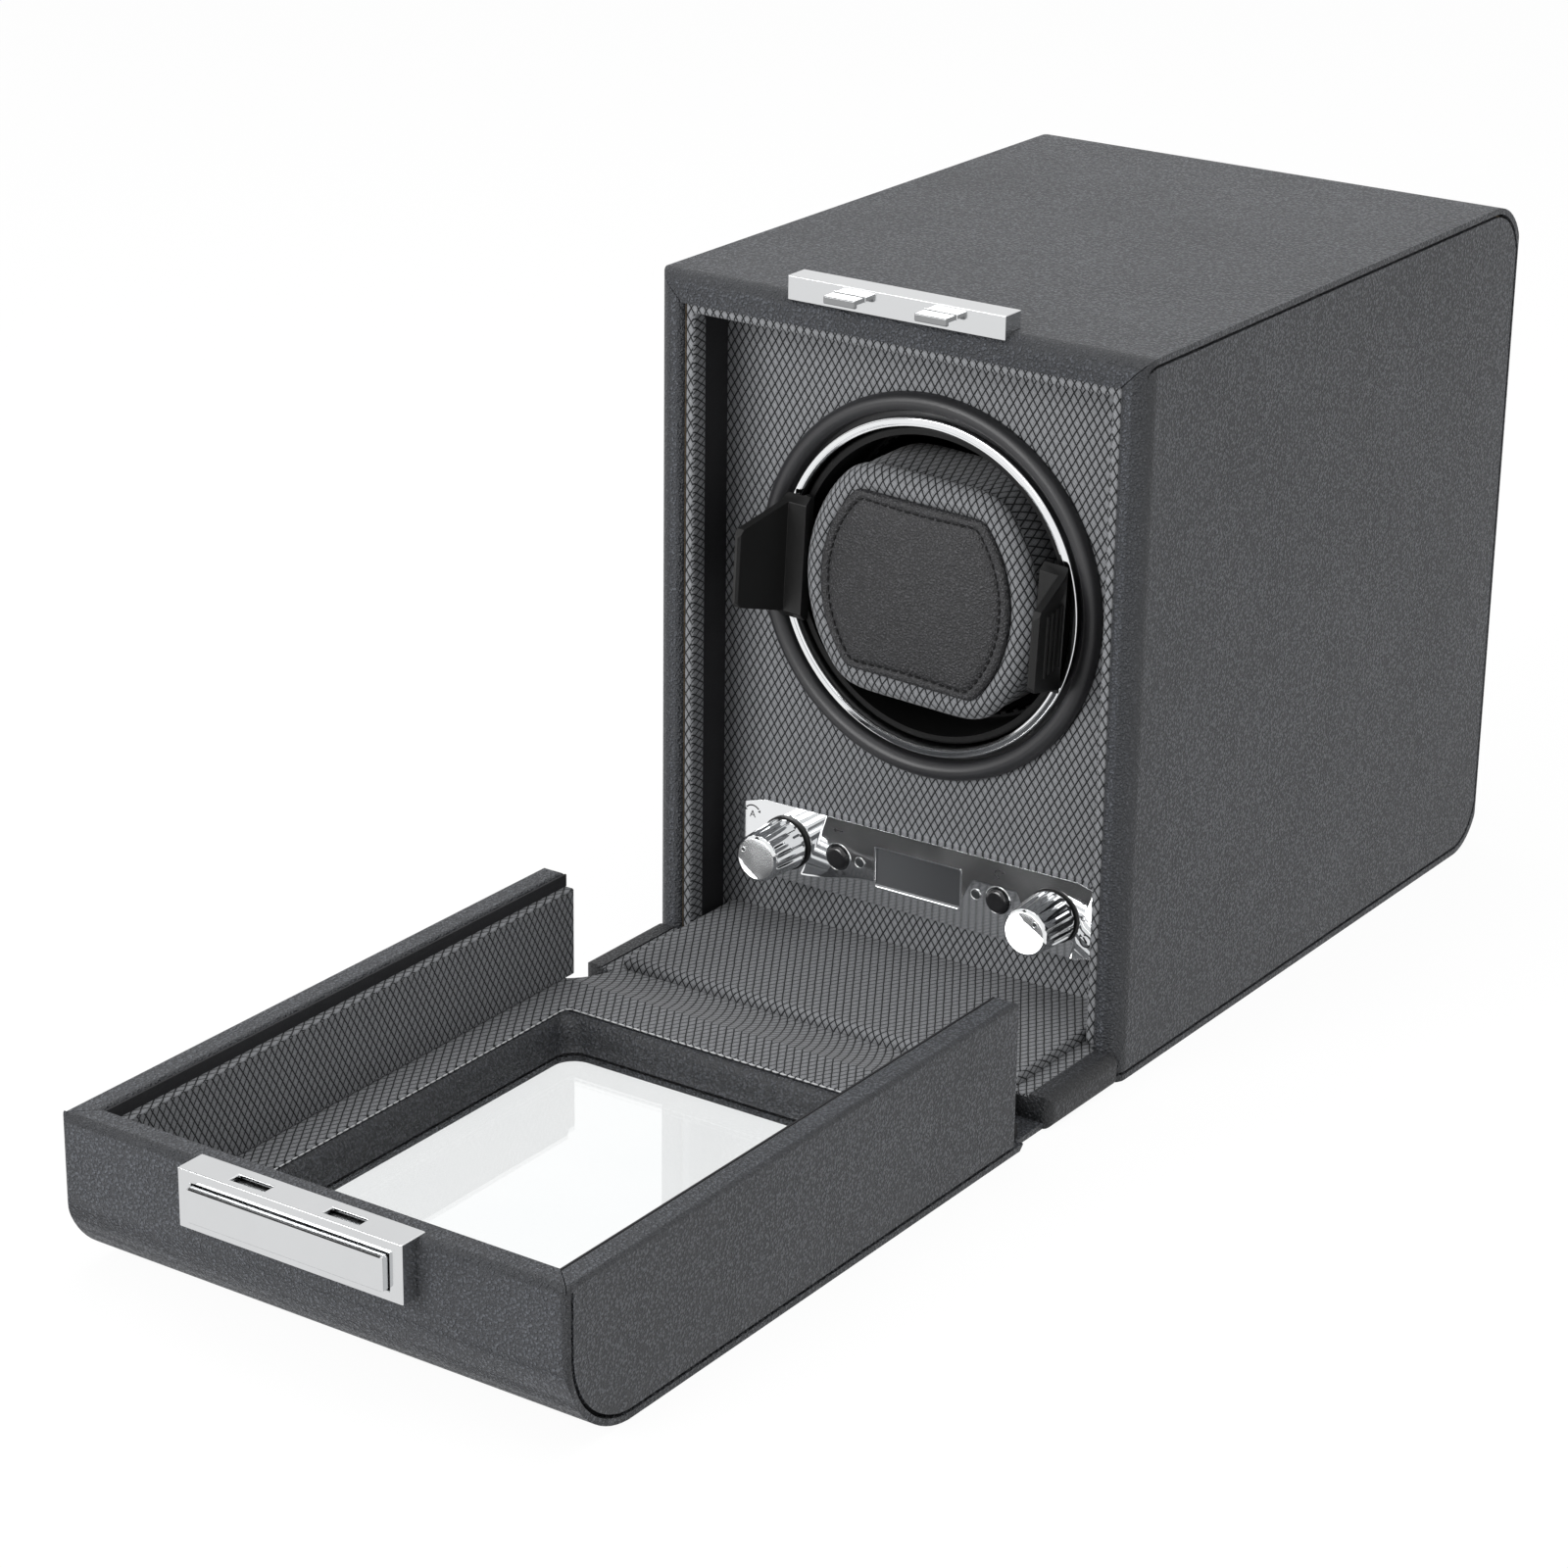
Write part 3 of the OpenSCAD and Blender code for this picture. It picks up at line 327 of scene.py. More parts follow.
def diamond_cloth():
    """Woven cloth with crossing dark threads that outline tall diamonds."""
    s = Shader("diamond_cloth")
    uv = s.place(uv=True)
    u, v, _ = s.split(uv)
    across = s.math("DIVIDE", u, sizes().diamond_width)
    along = s.math("DIVIDE", v, sizes().diamond_height)
    waver = s.math("MULTIPLY_ADD", s.noise(uv, 320.0, 1.0), 0.16, -0.08)

    def line(total):
        share = s.math("FRACT", s.math("ADD", total, waver))
        return s.math("ABSOLUTE", s.math("MULTIPLY_ADD", share, 2.0, -1.0))

    first = line(s.math("ADD", across, along))
    second = line(s.math("SUBTRACT", across, along))
    nearest = s.math("MAXIMUM", first, second)
    dark = s.remap(nearest, 0.76, 0.88)
    pillow = s.math("MULTIPLY", s.math("SUBTRACT", 1.0, first), s.math("SUBTRACT", 1.0, second))

    def threads(angle, pitch):
        mapping = s.node("ShaderNodeMapping")
        mapping.inputs["Rotation"].default_value = (0, 0, math.radians(angle))
        s.join(uv, mapping.inputs["Vector"])
        wave = s.node("ShaderNodeTexWave", wave_type="BANDS", bands_direction="X")
        s.join(mapping.outputs[0], wave.inputs["Vector"])
        wave.inputs["Scale"].default_value = 0.314 / pitch
        wave.inputs["Distortion"].default_value = 1.1
        wave.inputs["Detail"].default_value = 1.0
        wave.inputs["Detail Scale"].default_value = 1.5
        return wave.outputs["Fac"]

    weft = threads(24, 0.46 * MM)
    warp = threads(-58, 0.62 * MM)
    weave = s.math("MULTIPLY_ADD", weft, 0.6, s.math("MULTIPLY", warp, 0.4))
    mottle = s.noise(uv, 900.0, 2.0, 0.6)
    tone = s.math("ADD", s.math("MULTIPLY", weave, 0.45),
                  s.math("ADD", s.math("MULTIPLY", mottle, 0.45), s.math("MULTIPLY", pillow, 0.35)))
    cell = s.mix(s.remap(tone, 0.2, 1.0, smooth=False),
                 rgba(colours().cloth, 0.62), rgba(colours().cloth, 1.45))
    s.set(Base_Color=s.mix(dark, cell, rgba(colours().thread)), Roughness=0.82, Specular_IOR_Level=0.3)
    s.set(Sheen_Weight=0.12, Sheen_Roughness=0.4)
    height = s.math("SUBTRACT", s.math("MULTIPLY_ADD", weave, 0.35, s.math("MULTIPLY", pillow, 0.7)),
                    s.math("MULTIPLY", dark, 0.5))
    s.bump(height, 0.16 * MM, 0.7)
    return s.material


def plated(name, colour, rough=0.06, haze=0.02):
    """Polished plating with a trace of orange peel and handling haze."""
    s = Shader(name)
    s.plating(colour, (0.96, 1.02), rough, haze)
    s.bump(s.noise(s.place(), 420.0, 1.0), 0.012 * MM, 0.25)
    return s.material


def strike_chrome():
    """The strike's plating, with painted shade on the two hooks that stand out in front of it; they are
    plated like the rest.
    """
    s = Shader("strike_chrome")
    _, y, _ = s.split(s.place())
    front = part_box("strike_plate")[0].y + STRIKE_REACH
    # Painted shade: the hooks take a darker tone of the same plating, standing in for the darker surroundings
    # they mirror.
    hook_painted_shade = s.remap(y, front - 0.3 * MM, front - 0.1 * MM, 1.0, 0.0)
    s.plating(colours().chrome, (0.8, 0.36), 0.1, 0.05, share=hook_painted_shade)
    return s.material


def tilted(s, aside, upward):
    """Leans the surface's normal by shares to the right and up, so that it mirrors another place."""
    lean = s.node("ShaderNodeCombineXYZ")
    s.put(lean.inputs["X"], aside)
    s.put(lean.inputs["Z"], upward)
    total = s.node("ShaderNodeVectorMath", operation="ADD")
    s.join(s.node("ShaderNodeNewGeometry").outputs["Normal"], total.inputs[0])
    s.join(lean.outputs[0], total.inputs[1])
    unit = s.node("ShaderNodeVectorMath", operation="NORMALIZE")
    s.join(total.outputs[0], unit.inputs[0])
    s.join(unit.outputs[0], s.bsdf.inputs["Normal"])


def on_plate(s):
    """A point's place on the control plate's face, in millimetres from the plate's middle."""
    x, _, z = s.split(s.place())
    return s.math("DIVIDE", x, MM), s.math("DIVIDE", s.math("SUBTRACT", z, PLATE_Z), MM)


def pressed_plate():
    """The control plate's mirror, whose normals lean by place, so that it shows dark and light fields.

    The plate itself is flat. Seen from the stage's camera, the fields are dark at the left end and along
    the foot, light in the middle, and lightest beyond a slanting line at the right.
    """
    s = Shader("pressed_plate")
    x, z = on_plate(s)
    ripple = s.math("MULTIPLY_ADD", s.noise(s.place(), 60.0, 1.0), 1.6, -0.8)
    left = s.remap(s.math("ADD", s.math("MULTIPLY_ADD", z, -0.45, x), ripple), -32.6, -31.6, 1.0, 0.0)
    right = s.remap(s.math("ADD", s.math("MULTIPLY_ADD", z, -0.33, x), ripple), 48.2, 49.6)
    foot = s.math("ADD", s.remap(x, -36, -14, -7.5, -4.2), s.remap(x, 12, 17, 0.0, 7.6))
    foot = s.math("MULTIPLY_ADD", s.remap(x, 29, 34), -9.0, foot)
    height = s.math("ADD", z, s.math("MULTIPLY", ripple, 0.6))
    above = s.remap(s.math("SUBTRACT", height, foot), -0.5, 0.5)
    between = s.math("MULTIPLY", s.math("SUBTRACT", 1.0, left), s.math("SUBTRACT", 1.0, right))
    middle = s.math("MULTIPLY", above, between)
    upward = s.math("MULTIPLY_ADD", middle, 0.27, s.math("MULTIPLY", right, 0.42))
    tilted(s, s.remap(x, -49, -45, 0.1, 0.0), upward)
    s.plating(colours().chrome, (0.96, 1.02), 0.05, 0.03)
    return s.material


def knob_face(name, x_mid, slant, level):
    """A knob's flat polished end, whose normals lean up, and more so below a slanting line."""
    s = Shader(name)
    x, z = on_plate(s)
    x = s.math("SUBTRACT", x, x_mid)
    ripple = s.math("MULTIPLY_ADD", s.noise(s.place(), 240.0, 2.0), 2.2, -1.1)
    height = s.math("ADD", s.math("MULTIPLY_ADD", x, slant, z), ripple)
    low = s.remap(height, level - 0.9, level + 0.9, 1.0, 0.0)
    tilted(s, 0.0, s.remap(low, 0.0, 1.0, 0.27, 0.46))
    s.plating(colours().chrome, (0.8, 0.9), 0.12, 0.06)
    return s.material


def moulded(name, colour, rough=0.45, grain=0.35 * MM, depth=0.03, coat=0.0, gloss=0.5):
    """Moulded plastic or rubber with a fine spark-eroded grain."""
    s = Shader(name)
    place = s.place()
    speck = s.noise(place, 1.0 / grain, 2.0, 0.6)
    cloud = s.noise(place, 40.0, 2.0)
    tone = s.math("MULTIPLY_ADD", speck, 0.4, s.math("MULTIPLY", cloud, 0.6))
    s.set(Base_Color=s.mix(tone, rgba(colour, 0.75), rgba(colour, 1.3)),
          Roughness=s.remap(tone, 0.3, 0.7, rough + 0.06, rough - 0.06))
    s.set(Specular_IOR_Level=gloss, Coat_Weight=coat, Coat_Roughness=0.06)
    s.bump(speck, grain * depth * 10, 0.35)
    return s.material


def fibreboard():
    s = Shader("fibreboard")
    fibre = s.noise(s.place(scale=(1, 1, 4)), 900.0, 4.0, 0.65)
    s.set(Base_Color=s.mix(fibre, (0.16, 0.115, 0.07, 1), (0.34, 0.26, 0.17, 1)), Roughness=0.85)
    s.bump(fibre, 0.2 * MM, 0.4)
    return s.material


def brushed(name, colour, rough=0.3):
    s = Shader(name)
    streak = s.noise(s.place(scale=(1, 30, 1)), 260.0, 3.0, 0.6)
    s.set(Base_Color=s.mix(streak, rgba(colour, 0.85), rgba(colour, 1.1)),
          Roughness=s.remap(streak, 0.3, 0.7, rough - 0.06, rough + 0.08))
    s.set(Metallic=1.0)
    s.bump(streak, 0.01 * MM, 0.3)
    return s.material


def clear_glass():
    s = Shader("clear_glass")
    smear = s.noise(s.place(), 30.0, 2.0)
    s.set(Base_Color=s.mix(smear, (0.93, 0.95, 0.955, 1), (0.97, 0.98, 0.98, 1)), Roughness=0.0)
    s.set(IOR=1.45, Transmission_Weight=1.0)
    return s.material


def screen_film():
    s = Shader("screen_film")
    x, _, _ = s.split(s.place())
    # The film is painted lighter at the left and darker at the right: a painted reflection.
    across = s.remap(x, -13 * MM, 13 * MM)
    grid = s.noise(s.place(), 1500.0, 1.0)
    s.set(Base_Color=s.mix(across, (0.078, 0.081, 0.085, 1), (0.050, 0.052, 0.055, 1)),
          Roughness=s.remap(grid, 0.3, 0.7, 0.1, 0.16))
    s.set(Coat_Weight=0.6, Coat_Roughness=0.03)
    return s.material


def pale_thread():
    s = Shader("pale_thread")
    twist = s.noise(s.place(), 4200.0, 2.0)
    s.set(Base_Color=s.mix(twist, (0.42, 0.43, 0.44, 1), (0.68, 0.69, 0.70, 1)), Roughness=0.7)
    s.bump(twist, 0.05 * MM, 0.5)
    return s.material


def black_thread():
    s = Shader("black_thread")
    twist = s.noise(s.place(), 3800.0, 2.0)
    s.set(Base_Color=s.mix(twist, (0.003, 0.003, 0.003, 1), (0.012, 0.012, 0.013, 1)), Roughness=0.75)
    s.set(Specular_IOR_Level=0.2)
    s.bump(twist, 0.05 * MM, 0.6)
    return s.material


MAKERS = {
    "case_leather": lambda: grained_leather("case_leather", colours().leather, sizes().grain),
    "side_leather": lambda: grained_leather("side_leather", colours().leather, sizes().grain, 1.08),
    "cuff_leather": lambda: grained_leather("cuff_leather", colours().soft_black, sizes().grain * 0.8,
                                            1.6, 0.36, 0.42),
    # The sill's leather is the case leather at 0.4 of its colour: painted shade for the sill lying in shade.
    "shaded_sill_leather": lambda: grained_leather("shaded_sill_leather", colours().leather, sizes().grain, 0.4, 0.4, 0.5),
    # The reveal's leather is the case leather at 0.6 of its colour: painted shade in the window's recess.
    "shaded_reveal_leather": lambda: grained_leather("shaded_reveal_leather", colours().leather, sizes().grain,
                                              0.6, 0.3, 0.42),
    "diamond_cloth": diamond_cloth,
    # Black lining; the lid's inner band takes it too, as painted shade where its leather lies in shade.
    "lining_and_band_shade": lambda: moulded("lining_and_band_shade", colours().soft_black, 0.7, 0.5 * MM, 0.05, gloss=0.2),
    "soft_bead": lambda: moulded("soft_bead", colours().soft_black, 0.42, 0.4 * MM, 0.03),
    "black_plastic": lambda: moulded("black_plastic", (0.009, 0.009, 0.009), 0.42, gloss=0.32),
    "drum_plastic": lambda: moulded("drum_plastic", (0.005, 0.005, 0.005), 0.5, gloss=0.2),
    "gloss_black": lambda: moulded("gloss_black", (0.010, 0.010, 0.011), 0.16, coat=0.5),
    "chrome": lambda: plated("chrome", colours().chrome),
    "satin_chrome": lambda: plated("satin_chrome", tuple(0.8 * c for c in colours().chrome), 0.1, 0.05),
    "strike_chrome": strike_chrome,
    "pressed_plate": pressed_plate,
    "left_face": lambda: knob_face("left_face", -KNOB_X / MM, 0.75, -5.0),
    "right_face": lambda: knob_face("right_face", KNOB_X / MM, 0.7, 3.2),
    "steel": lambda: brushed("steel", (0.55, 0.56, 0.57)),
    "brass": lambda: brushed("brass", (0.62, 0.45, 0.20), 0.26),
    "acetal": lambda: moulded("acetal", (0.72, 0.70, 0.63), 0.4),
    "board_green": lambda: moulded("board_green", (0.04, 0.17, 0.09), 0.35),
    "fibreboard": fibreboard,
    "dark_board": lambda: moulded("dark_board", (0.016, 0.016, 0.017), 0.8, 0.6 * MM, 0.04, gloss=0.2),
    "glass": clear_glass,
    "screen": screen_film,
    "lamp": lambda: moulded("lamp", (0.028, 0.030, 0.032), 0.2, coat=0.6),
    "mark_ink": lambda: moulded("mark_ink", (0.02, 0.02, 0.022), 0.5),
    "pale_thread": pale_thread,
    "black_thread": black_thread,
}


# ---------------------------------------------------------------- mesh helpers

def welded(node):
    """An editable copy of a CAD node with shared corners and whole flats."""
    bm = bmesh.new()
    bm.from_mesh(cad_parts[node].data)
    bmesh.ops.remove_doubles(bm, verts=bm.verts, dist=1e-6)
    bmesh.ops.dissolve_limit(bm, angle_limit=math.radians(0.3), verts=bm.verts, edges=bm.edges)
    return bm


def round_edges(bm, width, steps=3, pick=None, sharp=28):
    """Rounds the edges sharper than so many degrees, or those of them that pick accepts."""
    edges = [e for e in bm.edges
             if len(e.link_faces) == 2 and e.calc_face_angle(0) > math.radians(sharp)
             and (pick is None or pick(e))]
    if edges:
        bmesh.ops.bevel(bm, geom=edges, offset=width, offset_type="OFFSET", segments=steps,
                        profile=0.5, affect="EDGES", clamp_overlap=True)


def outer_edges(low, high, *planes):
    """Accepts edges that lie on both of two box faces, such as ("x", "-y") for |x| and the front."""
    def on(vert, plane):
        axis = "xyz".index(plane[-1])
        near_low = abs(vert.co[axis] - low[axis]) < 0.05 * MM
        near_high = abs(vert.co[axis] - high[axis]) < 0.05 * MM
        return {"-": near_low, "+": near_high}.get(plane[0], near_low or near_high)

    def pick(edge):
        return any(all(on(v, a) and on(v, b) for v in edge.verts) for a, b in planes)
    return pick


def breadth(face):
    """The width of a long face, or about half that of a square one."""
    return 2 * face.calc_area() / max(face.calc_perimeter(), 1e-9)


def mark_folds(bm):
    """Marks the rounded edges, whose faces are narrow, for the darker fold: partly burnished leather, partly
    painted shade.
    """
    layer = bm.verts.layers.float.new("fold")
    broad = {f: breadth(f) > 0.8 * MM for f in bm.faces}
    for vert in bm.verts:
        vert[layer] = 0.0 if any(broad[f] for f in vert.link_faces) else 1.0


def box_uv(bm):
    """Lays the cloth on each face, so its lines keep their size and run on over narrow turned edges."""
    layer = bm.loops.layers.uv.verify()
    for face in bm.faces:
        n = [abs(c) for c in face.normal]
        narrow = breadth(face) < 4 * MM
        sway = 1 if face.normal.x > 0 else -1
        for loop in face.loops:
            p = loop.vert.co
            if n[0] > n[1] and n[0] > n[2]:
                loop[layer].uv = (p.x - p.z * sway, p.y) if narrow else (p.y, p.z)
            else:
                loop[layer].uv = (p.x, p.y + p.z)


def final_mesh(obj):
    """The plain mesh that an object's modifiers or letters come to."""
    bpy.context.view_layer.update()
    seen = obj.evaluated_get(bpy.context.evaluated_depsgraph_get())
    return bpy.data.meshes.new_from_object(seen)


def even_normals(obj):
    """Weighted normals baked into the mesh, so flats stay flat beside rounded edges."""
    obj.modifiers.new("weigh", "WEIGHTED_NORMAL").keep_sharp = True
    mesh = final_mesh(obj)
    obj.modifiers.clear()
    obj.data = mesh
    mesh.name = obj.name


def placed(name, data):
    """A new object in the scene."""
    obj = bpy.data.objects.new(name, data)
    bpy.context.scene.collection.objects.link(obj)
    return obj


def piece(name, mesh, material, body, stands_for=(), smooth=35):
    """Adds a finished mesh as a piece that rides on a CAD body, soft all over if smooth is None."""
    obj = placed(name, mesh)
    if material is not None:
        mesh.materials.clear()
        mesh.materials.append(finish(material))
    mesh.shade_smooth()
    if smooth is not None:
        mesh.set_sharp_from_angle(angle=math.radians(smooth))
        even_normals(obj)
    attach(obj, body)
    if stands_for:
        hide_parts(*stands_for)
    return obj


def mesh_from(bm, name):
    mesh = bpy.data.meshes.new(name)
    bm.to_mesh(mesh)
    bm.free()
    return mesh


def dress(node, material, body, width=0.0, steps=3, cloth=False):
    """A rounded, finished copy that stands for one CAD node."""
    bm = welded(node)
    if width:
        round_edges(bm, width, steps)
    if cloth:
        box_uv(bm)
    return piece(node + "_finish", mesh_from(bm, node), material, body, (node,))


def paint(node, material):
    """Gives a CAD node that keeps its own shape its finish."""
    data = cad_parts[node].data
    data.materials.clear()
    data.materials.append(finish(material))


def loft(rings, closed_ends=True):
    """A closed skin over rings that all have the same number of points."""
    bm = bmesh.new()
    rows = [[bm.verts.new(p) for p in ring] for ring in rings]
    count = len(rows[0])
    for a, b in zip(rows, rows[1:]):
        for i in range(count):
            j = (i + 1) % count
            bm.faces.new((a[i], a[j], b[j], b[i]))
    if closed_ends:
        for row in (rows[0], rows[-1]):
            centre = sum((v.co for v in row), Vector()) / count
            hub = bm.verts.new(centre)
            for i in range(count):
                bm.faces.new((row[i], row[(i + 1) % count], hub))
    bmesh.ops.recalc_face_normals(bm, faces=bm.faces)
    return bm


def tube(rings):
    """A closed skin over rings whose last one joins back to the first."""
    bm = loft(rings, closed_ends=False)
    bm.verts.ensure_lookup_table()
    count = len(rings[0])
    first, last = bm.verts[:count], bm.verts[-count:]
    for i in range(count):
        j = (i + 1) % count
        bm.faces.new((last[i], last[j], first[j], first[i]))
    bmesh.ops.recalc_face_normals(bm, faces=bm.faces)
    return bm


def turned(section, count):
    """A ring: a closed section of (radius, y) points turned about the drum axis."""
    bm = bmesh.new()
    rows = []
    for j in range(count):
        t = 2 * math.pi * j / count
        rows.append([bm.verts.new((r * math.cos(t), y, AXIS_Z + r * math.sin(t))) for r, y in section])
    for a, b in zip(rows, rows[1:] + rows[:1]):
        for i in range(len(section)):
            j = (i + 1) % len(section)
            bm.faces.new((a[i], a[j], b[j], b[i]))
    bmesh.ops.recalc_face_normals(bm, faces=bm.faces)
    return bm


def rounded_outline(points, radii, steps=8):
    """Corner points (u, v) joined by straight sides and arcs, anticlockwise."""
    out = []
    count = len(points)
    for i, (corner, radius) in enumerate(zip(points, radii)):
        here = Vector(corner)
        before = (Vector(points[i - 1]) - here).normalized()
        after = (Vector(points[(i + 1) % count]) - here).normalized()
        half = before.angle(after) / 2
        reach = radius / math.tan(half)
        centre = here + (before + after).normalized() * radius / math.sin(half)
        start = here + before * reach - centre
        sweep = math.pi - 2 * half
        turn = 1 if before.x * after.y - before.y * after.x < 0 else -1
        for k in range(steps + 1):
            a = turn * sweep * k / steps
            out.append(centre + Vector((start.x * math.cos(a) - start.y * math.sin(a),
                                        start.x * math.sin(a) + start.y * math.cos(a))))
    return out


def rounded_rectangle(half_u, half_v, radius, steps):
    """A rectangle about (0, 0) with equal round corners, anticlockwise."""
    corners = [(-half_u, -half_v), (half_u, -half_v), (half_u, half_v), (-half_u, half_v)]
    return rounded_outline(corners, [radius] * 4, steps)


def circle(x, z, radius, y, count):
    """A ring of points round an axis along Y."""
    angles = [2 * math.pi * j / count for j in range(count)]
    return [(x + radius * math.cos(t), y, z + radius * math.sin(t)) for t in angles]


def resampled(outline, count):
    """The same closed outline with evenly spaced points."""
    loop = outline + outline[:1]
    lengths = [0.0]
    for a, b in zip(loop, loop[1:]):
        lengths.append(lengths[-1] + (b - a).length)
    out, k = [], 0
    for i in range(count):
        want = lengths[-1] * i / count
        while lengths[k + 1] < want:
            k += 1
        share = (want - lengths[k]) / max(lengths[k + 1] - lengths[k], 1e-12)
        out.append(loop[k].lerp(loop[k + 1], share))
    return out


# ---------------------------------------------------------------- geometry node trees

def stitch_tree():
    """Stitches laid end to end along a path: a resampled curve carrying short rounded bars."""
    tree = bpy.data.node_groups.new("stitches", "GeometryNodeTree")
    face = tree.interface
    face.new_socket("Geometry", in_out="INPUT", socket_type="NodeSocketGeometry")
    for name, value in (("Pitch", 2.4 * MM), ("Length", 1.9 * MM), ("Width", 0.5 * MM)):
        socket = face.new_socket(name, in_out="INPUT", socket_type="NodeSocketFloat")
        socket.default_value = value
    face.new_socket("Material", in_out="INPUT", socket_type="NodeSocketMaterial")
    face.new_socket("Geometry", in_out="OUTPUT", socket_type="NodeSocketGeometry")
    add, join = tree.nodes.new, tree.links.new
    enter, leave = add("NodeGroupInput"), add("NodeGroupOutput")
    curve = add("GeometryNodeMeshToCurve")
    join(enter.outputs["Geometry"], curve.inputs[0])
    spaced = add("GeometryNodeResampleCurve")
    spaced.mode = "LENGTH"
    join(curve.outputs[0], spaced.inputs["Curve"])
    join(enter.outputs["Pitch"], spaced.inputs["Length"])
    tangent = add("GeometryNodeInputTangent")
    aim = add("FunctionNodeAlignRotationToVector")
    aim.axis = "X"
    join(tangent.outputs[0], aim.inputs["Vector"])
    ball = add("GeometryNodeMeshIcoSphere")
    ball.inputs["Radius"].default_value = 0.5
    ball.inputs["Subdivisions"].default_value = 2
    shape = add("ShaderNodeCombineXYZ")
    join(enter.outputs["Length"], shape.inputs[0])
    join(enter.outputs["Width"], shape.inputs[1])
    join(enter.outputs["Width"], shape.inputs[2])
    place = add("GeometryNodeInstanceOnPoints")
    join(spaced.outputs[0], place.inputs["Points"])
    join(ball.outputs[0], place.inputs["Instance"])
    join(aim.outputs[0], place.inputs["Rotation"])
    join(shape.outputs[0], place.inputs["Scale"])
    real = add("GeometryNodeRealizeInstances")
    join(place.outputs[0], real.inputs[0])
    coat = add("GeometryNodeSetMaterial")
    join(real.outputs[0], coat.inputs["Geometry"])
    join(enter.outputs["Material"], coat.inputs["Material"])
    join(coat.outputs[0], leave.inputs[0])
    return tree


def stitched(name, points, material, **inputs):
    """Runs the stitch tree along a closed path and returns the plain mesh that it makes."""
    tree = bpy.data.node_groups.get("stitches") or stitch_tree()
    carrier = placed(name, path_mesh(points))
    modifier = carrier.modifiers.new("grow", "NODES")
    modifier.node_group = tree
    known = {item.name: item.identifier for item in tree.interface.items_tree
             if item.item_type == "SOCKET" and item.in_out == "INPUT"}
    for key, value in inputs.items():
        modifier[known[key]] = value
    modifier[known["Material"]] = finish(material)
    mesh = final_mesh(carrier)
    bpy.data.objects.remove(carrier)
    return mesh


def path_mesh(points):
    """A closed loop of edges through the points."""
    mesh = bpy.data.meshes.new("path")
    edges = [(i, (i + 1) % len(points)) for i in range(len(points))]
    mesh.from_pydata([tuple(p) for p in points], edges, [])
    return mesh


# ---------------------------------------------------------------- leather

class WINDER_OT_leather(bpy.types.Operator):
    """Covers the case, sill and lid in grained leather with turned edges"""

    bl_idname = "winder.leather"
    bl_label = "Leather covering"

    def execute(self, context):
        sizes = context.scene.winder_sizes
        for node, body in (("body_wrap", "case"), ("lid_wrap", "lid")):
            self.cover(node, body, "case_leather", sizes, (("y", "z"),), (("x", "z"), ("x", "y")))
        for node, body in (("side_panel_left", "case"), ("side_panel_right", "case")):
            self.cover(node, body, "side_leather", sizes, (("x", "-y"),), (("x", "z"), ("x", "+y")))
        for node, body in (("lid_side_left", "lid"), ("lid_side_right", "lid")):
            self.cover(node, body, "side_leather", sizes, (("x", "+z"),), (("x", "-z"), ("x", "y")),
                       roll=1.35)
        # The sill takes the darker copy of the case leather: painted shade.
        self.cover("sill_wrap", "case", "case_leather", sizes, (), (("x", "z"), ("y", "z"), ("x", "y")),
                   material="shaded_sill_leather")
        return {"FINISHED"}

    def cover(self, node, body, slot, sizes, folds, seams, material=None, roll=1.0):
        """One leather panel: wide folds over outer edges, tighter ones at the seams."""
        low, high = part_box(node)
        bm = welded(node)
        if folds:
            round_edges(bm, sizes.fold * roll, 7, outer_edges(low, high, *folds))
        round_edges(bm, sizes.seam, 3, outer_edges(low, high, *seams))
        round_edges(bm, 0.3 * MM, 2, sharp=40)
        mark_folds(bm)
        piece(node + "_finish", mesh_from(bm, node), material or slot, body, (node,))


# ---------------------------------------------------------------- cloth

class WINDER_OT_cloth(bpy.types.Operator):
    """Covers the panel, lip, sill, platform and lid lining in diamond cloth"""

    bl_idname = "winder.cloth"
    bl_label = "Diamond cloth"

    def execute(self, context):
        for node, body, width in (
            ("front_panel", "case", 0.25 * MM), ("lip_frame", "case", 0.9 * MM),
            ("sill_fabric", "case", 0.2 * MM), ("platform", "case", 0.4 * MM),
            ("lid_lining", "lid", 0.5 * MM), ("window_frame", "lid", 0.9 * MM),
        ):
            dress(node, "diamond_cloth", body, width, cloth=True)
        self.thread_line()
        return {"FINISHED"}

    def thread_line(self):
        """The pale whipped thread on the inner edge of the window's cloth."""
        x, z = REVEAL_HIGH.x - 2.4 * MM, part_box("window_frame")[1].z - 0.1 * MM
        y0, y1 = REVEAL_LOW.y + 2.4 * MM, REVEAL_HIGH.y - 2.4 * MM
        corners = [(-x, y0), (x, y0), (x, y1), (-x, y1)]
        loop = resampled(rounded_outline(corners, [1.2 * MM] * 4, 4), 200)
        mesh = stitched("window_thread", [(p.x, p.y, z) for p in loop], "pale_thread",
                        Pitch=2.3 * MM, Length=2.1 * MM, Width=0.42 * MM)
        piece("window_thread", mesh, None, "lid", smooth=None)


# ---------------------------------------------------------------- linings and window

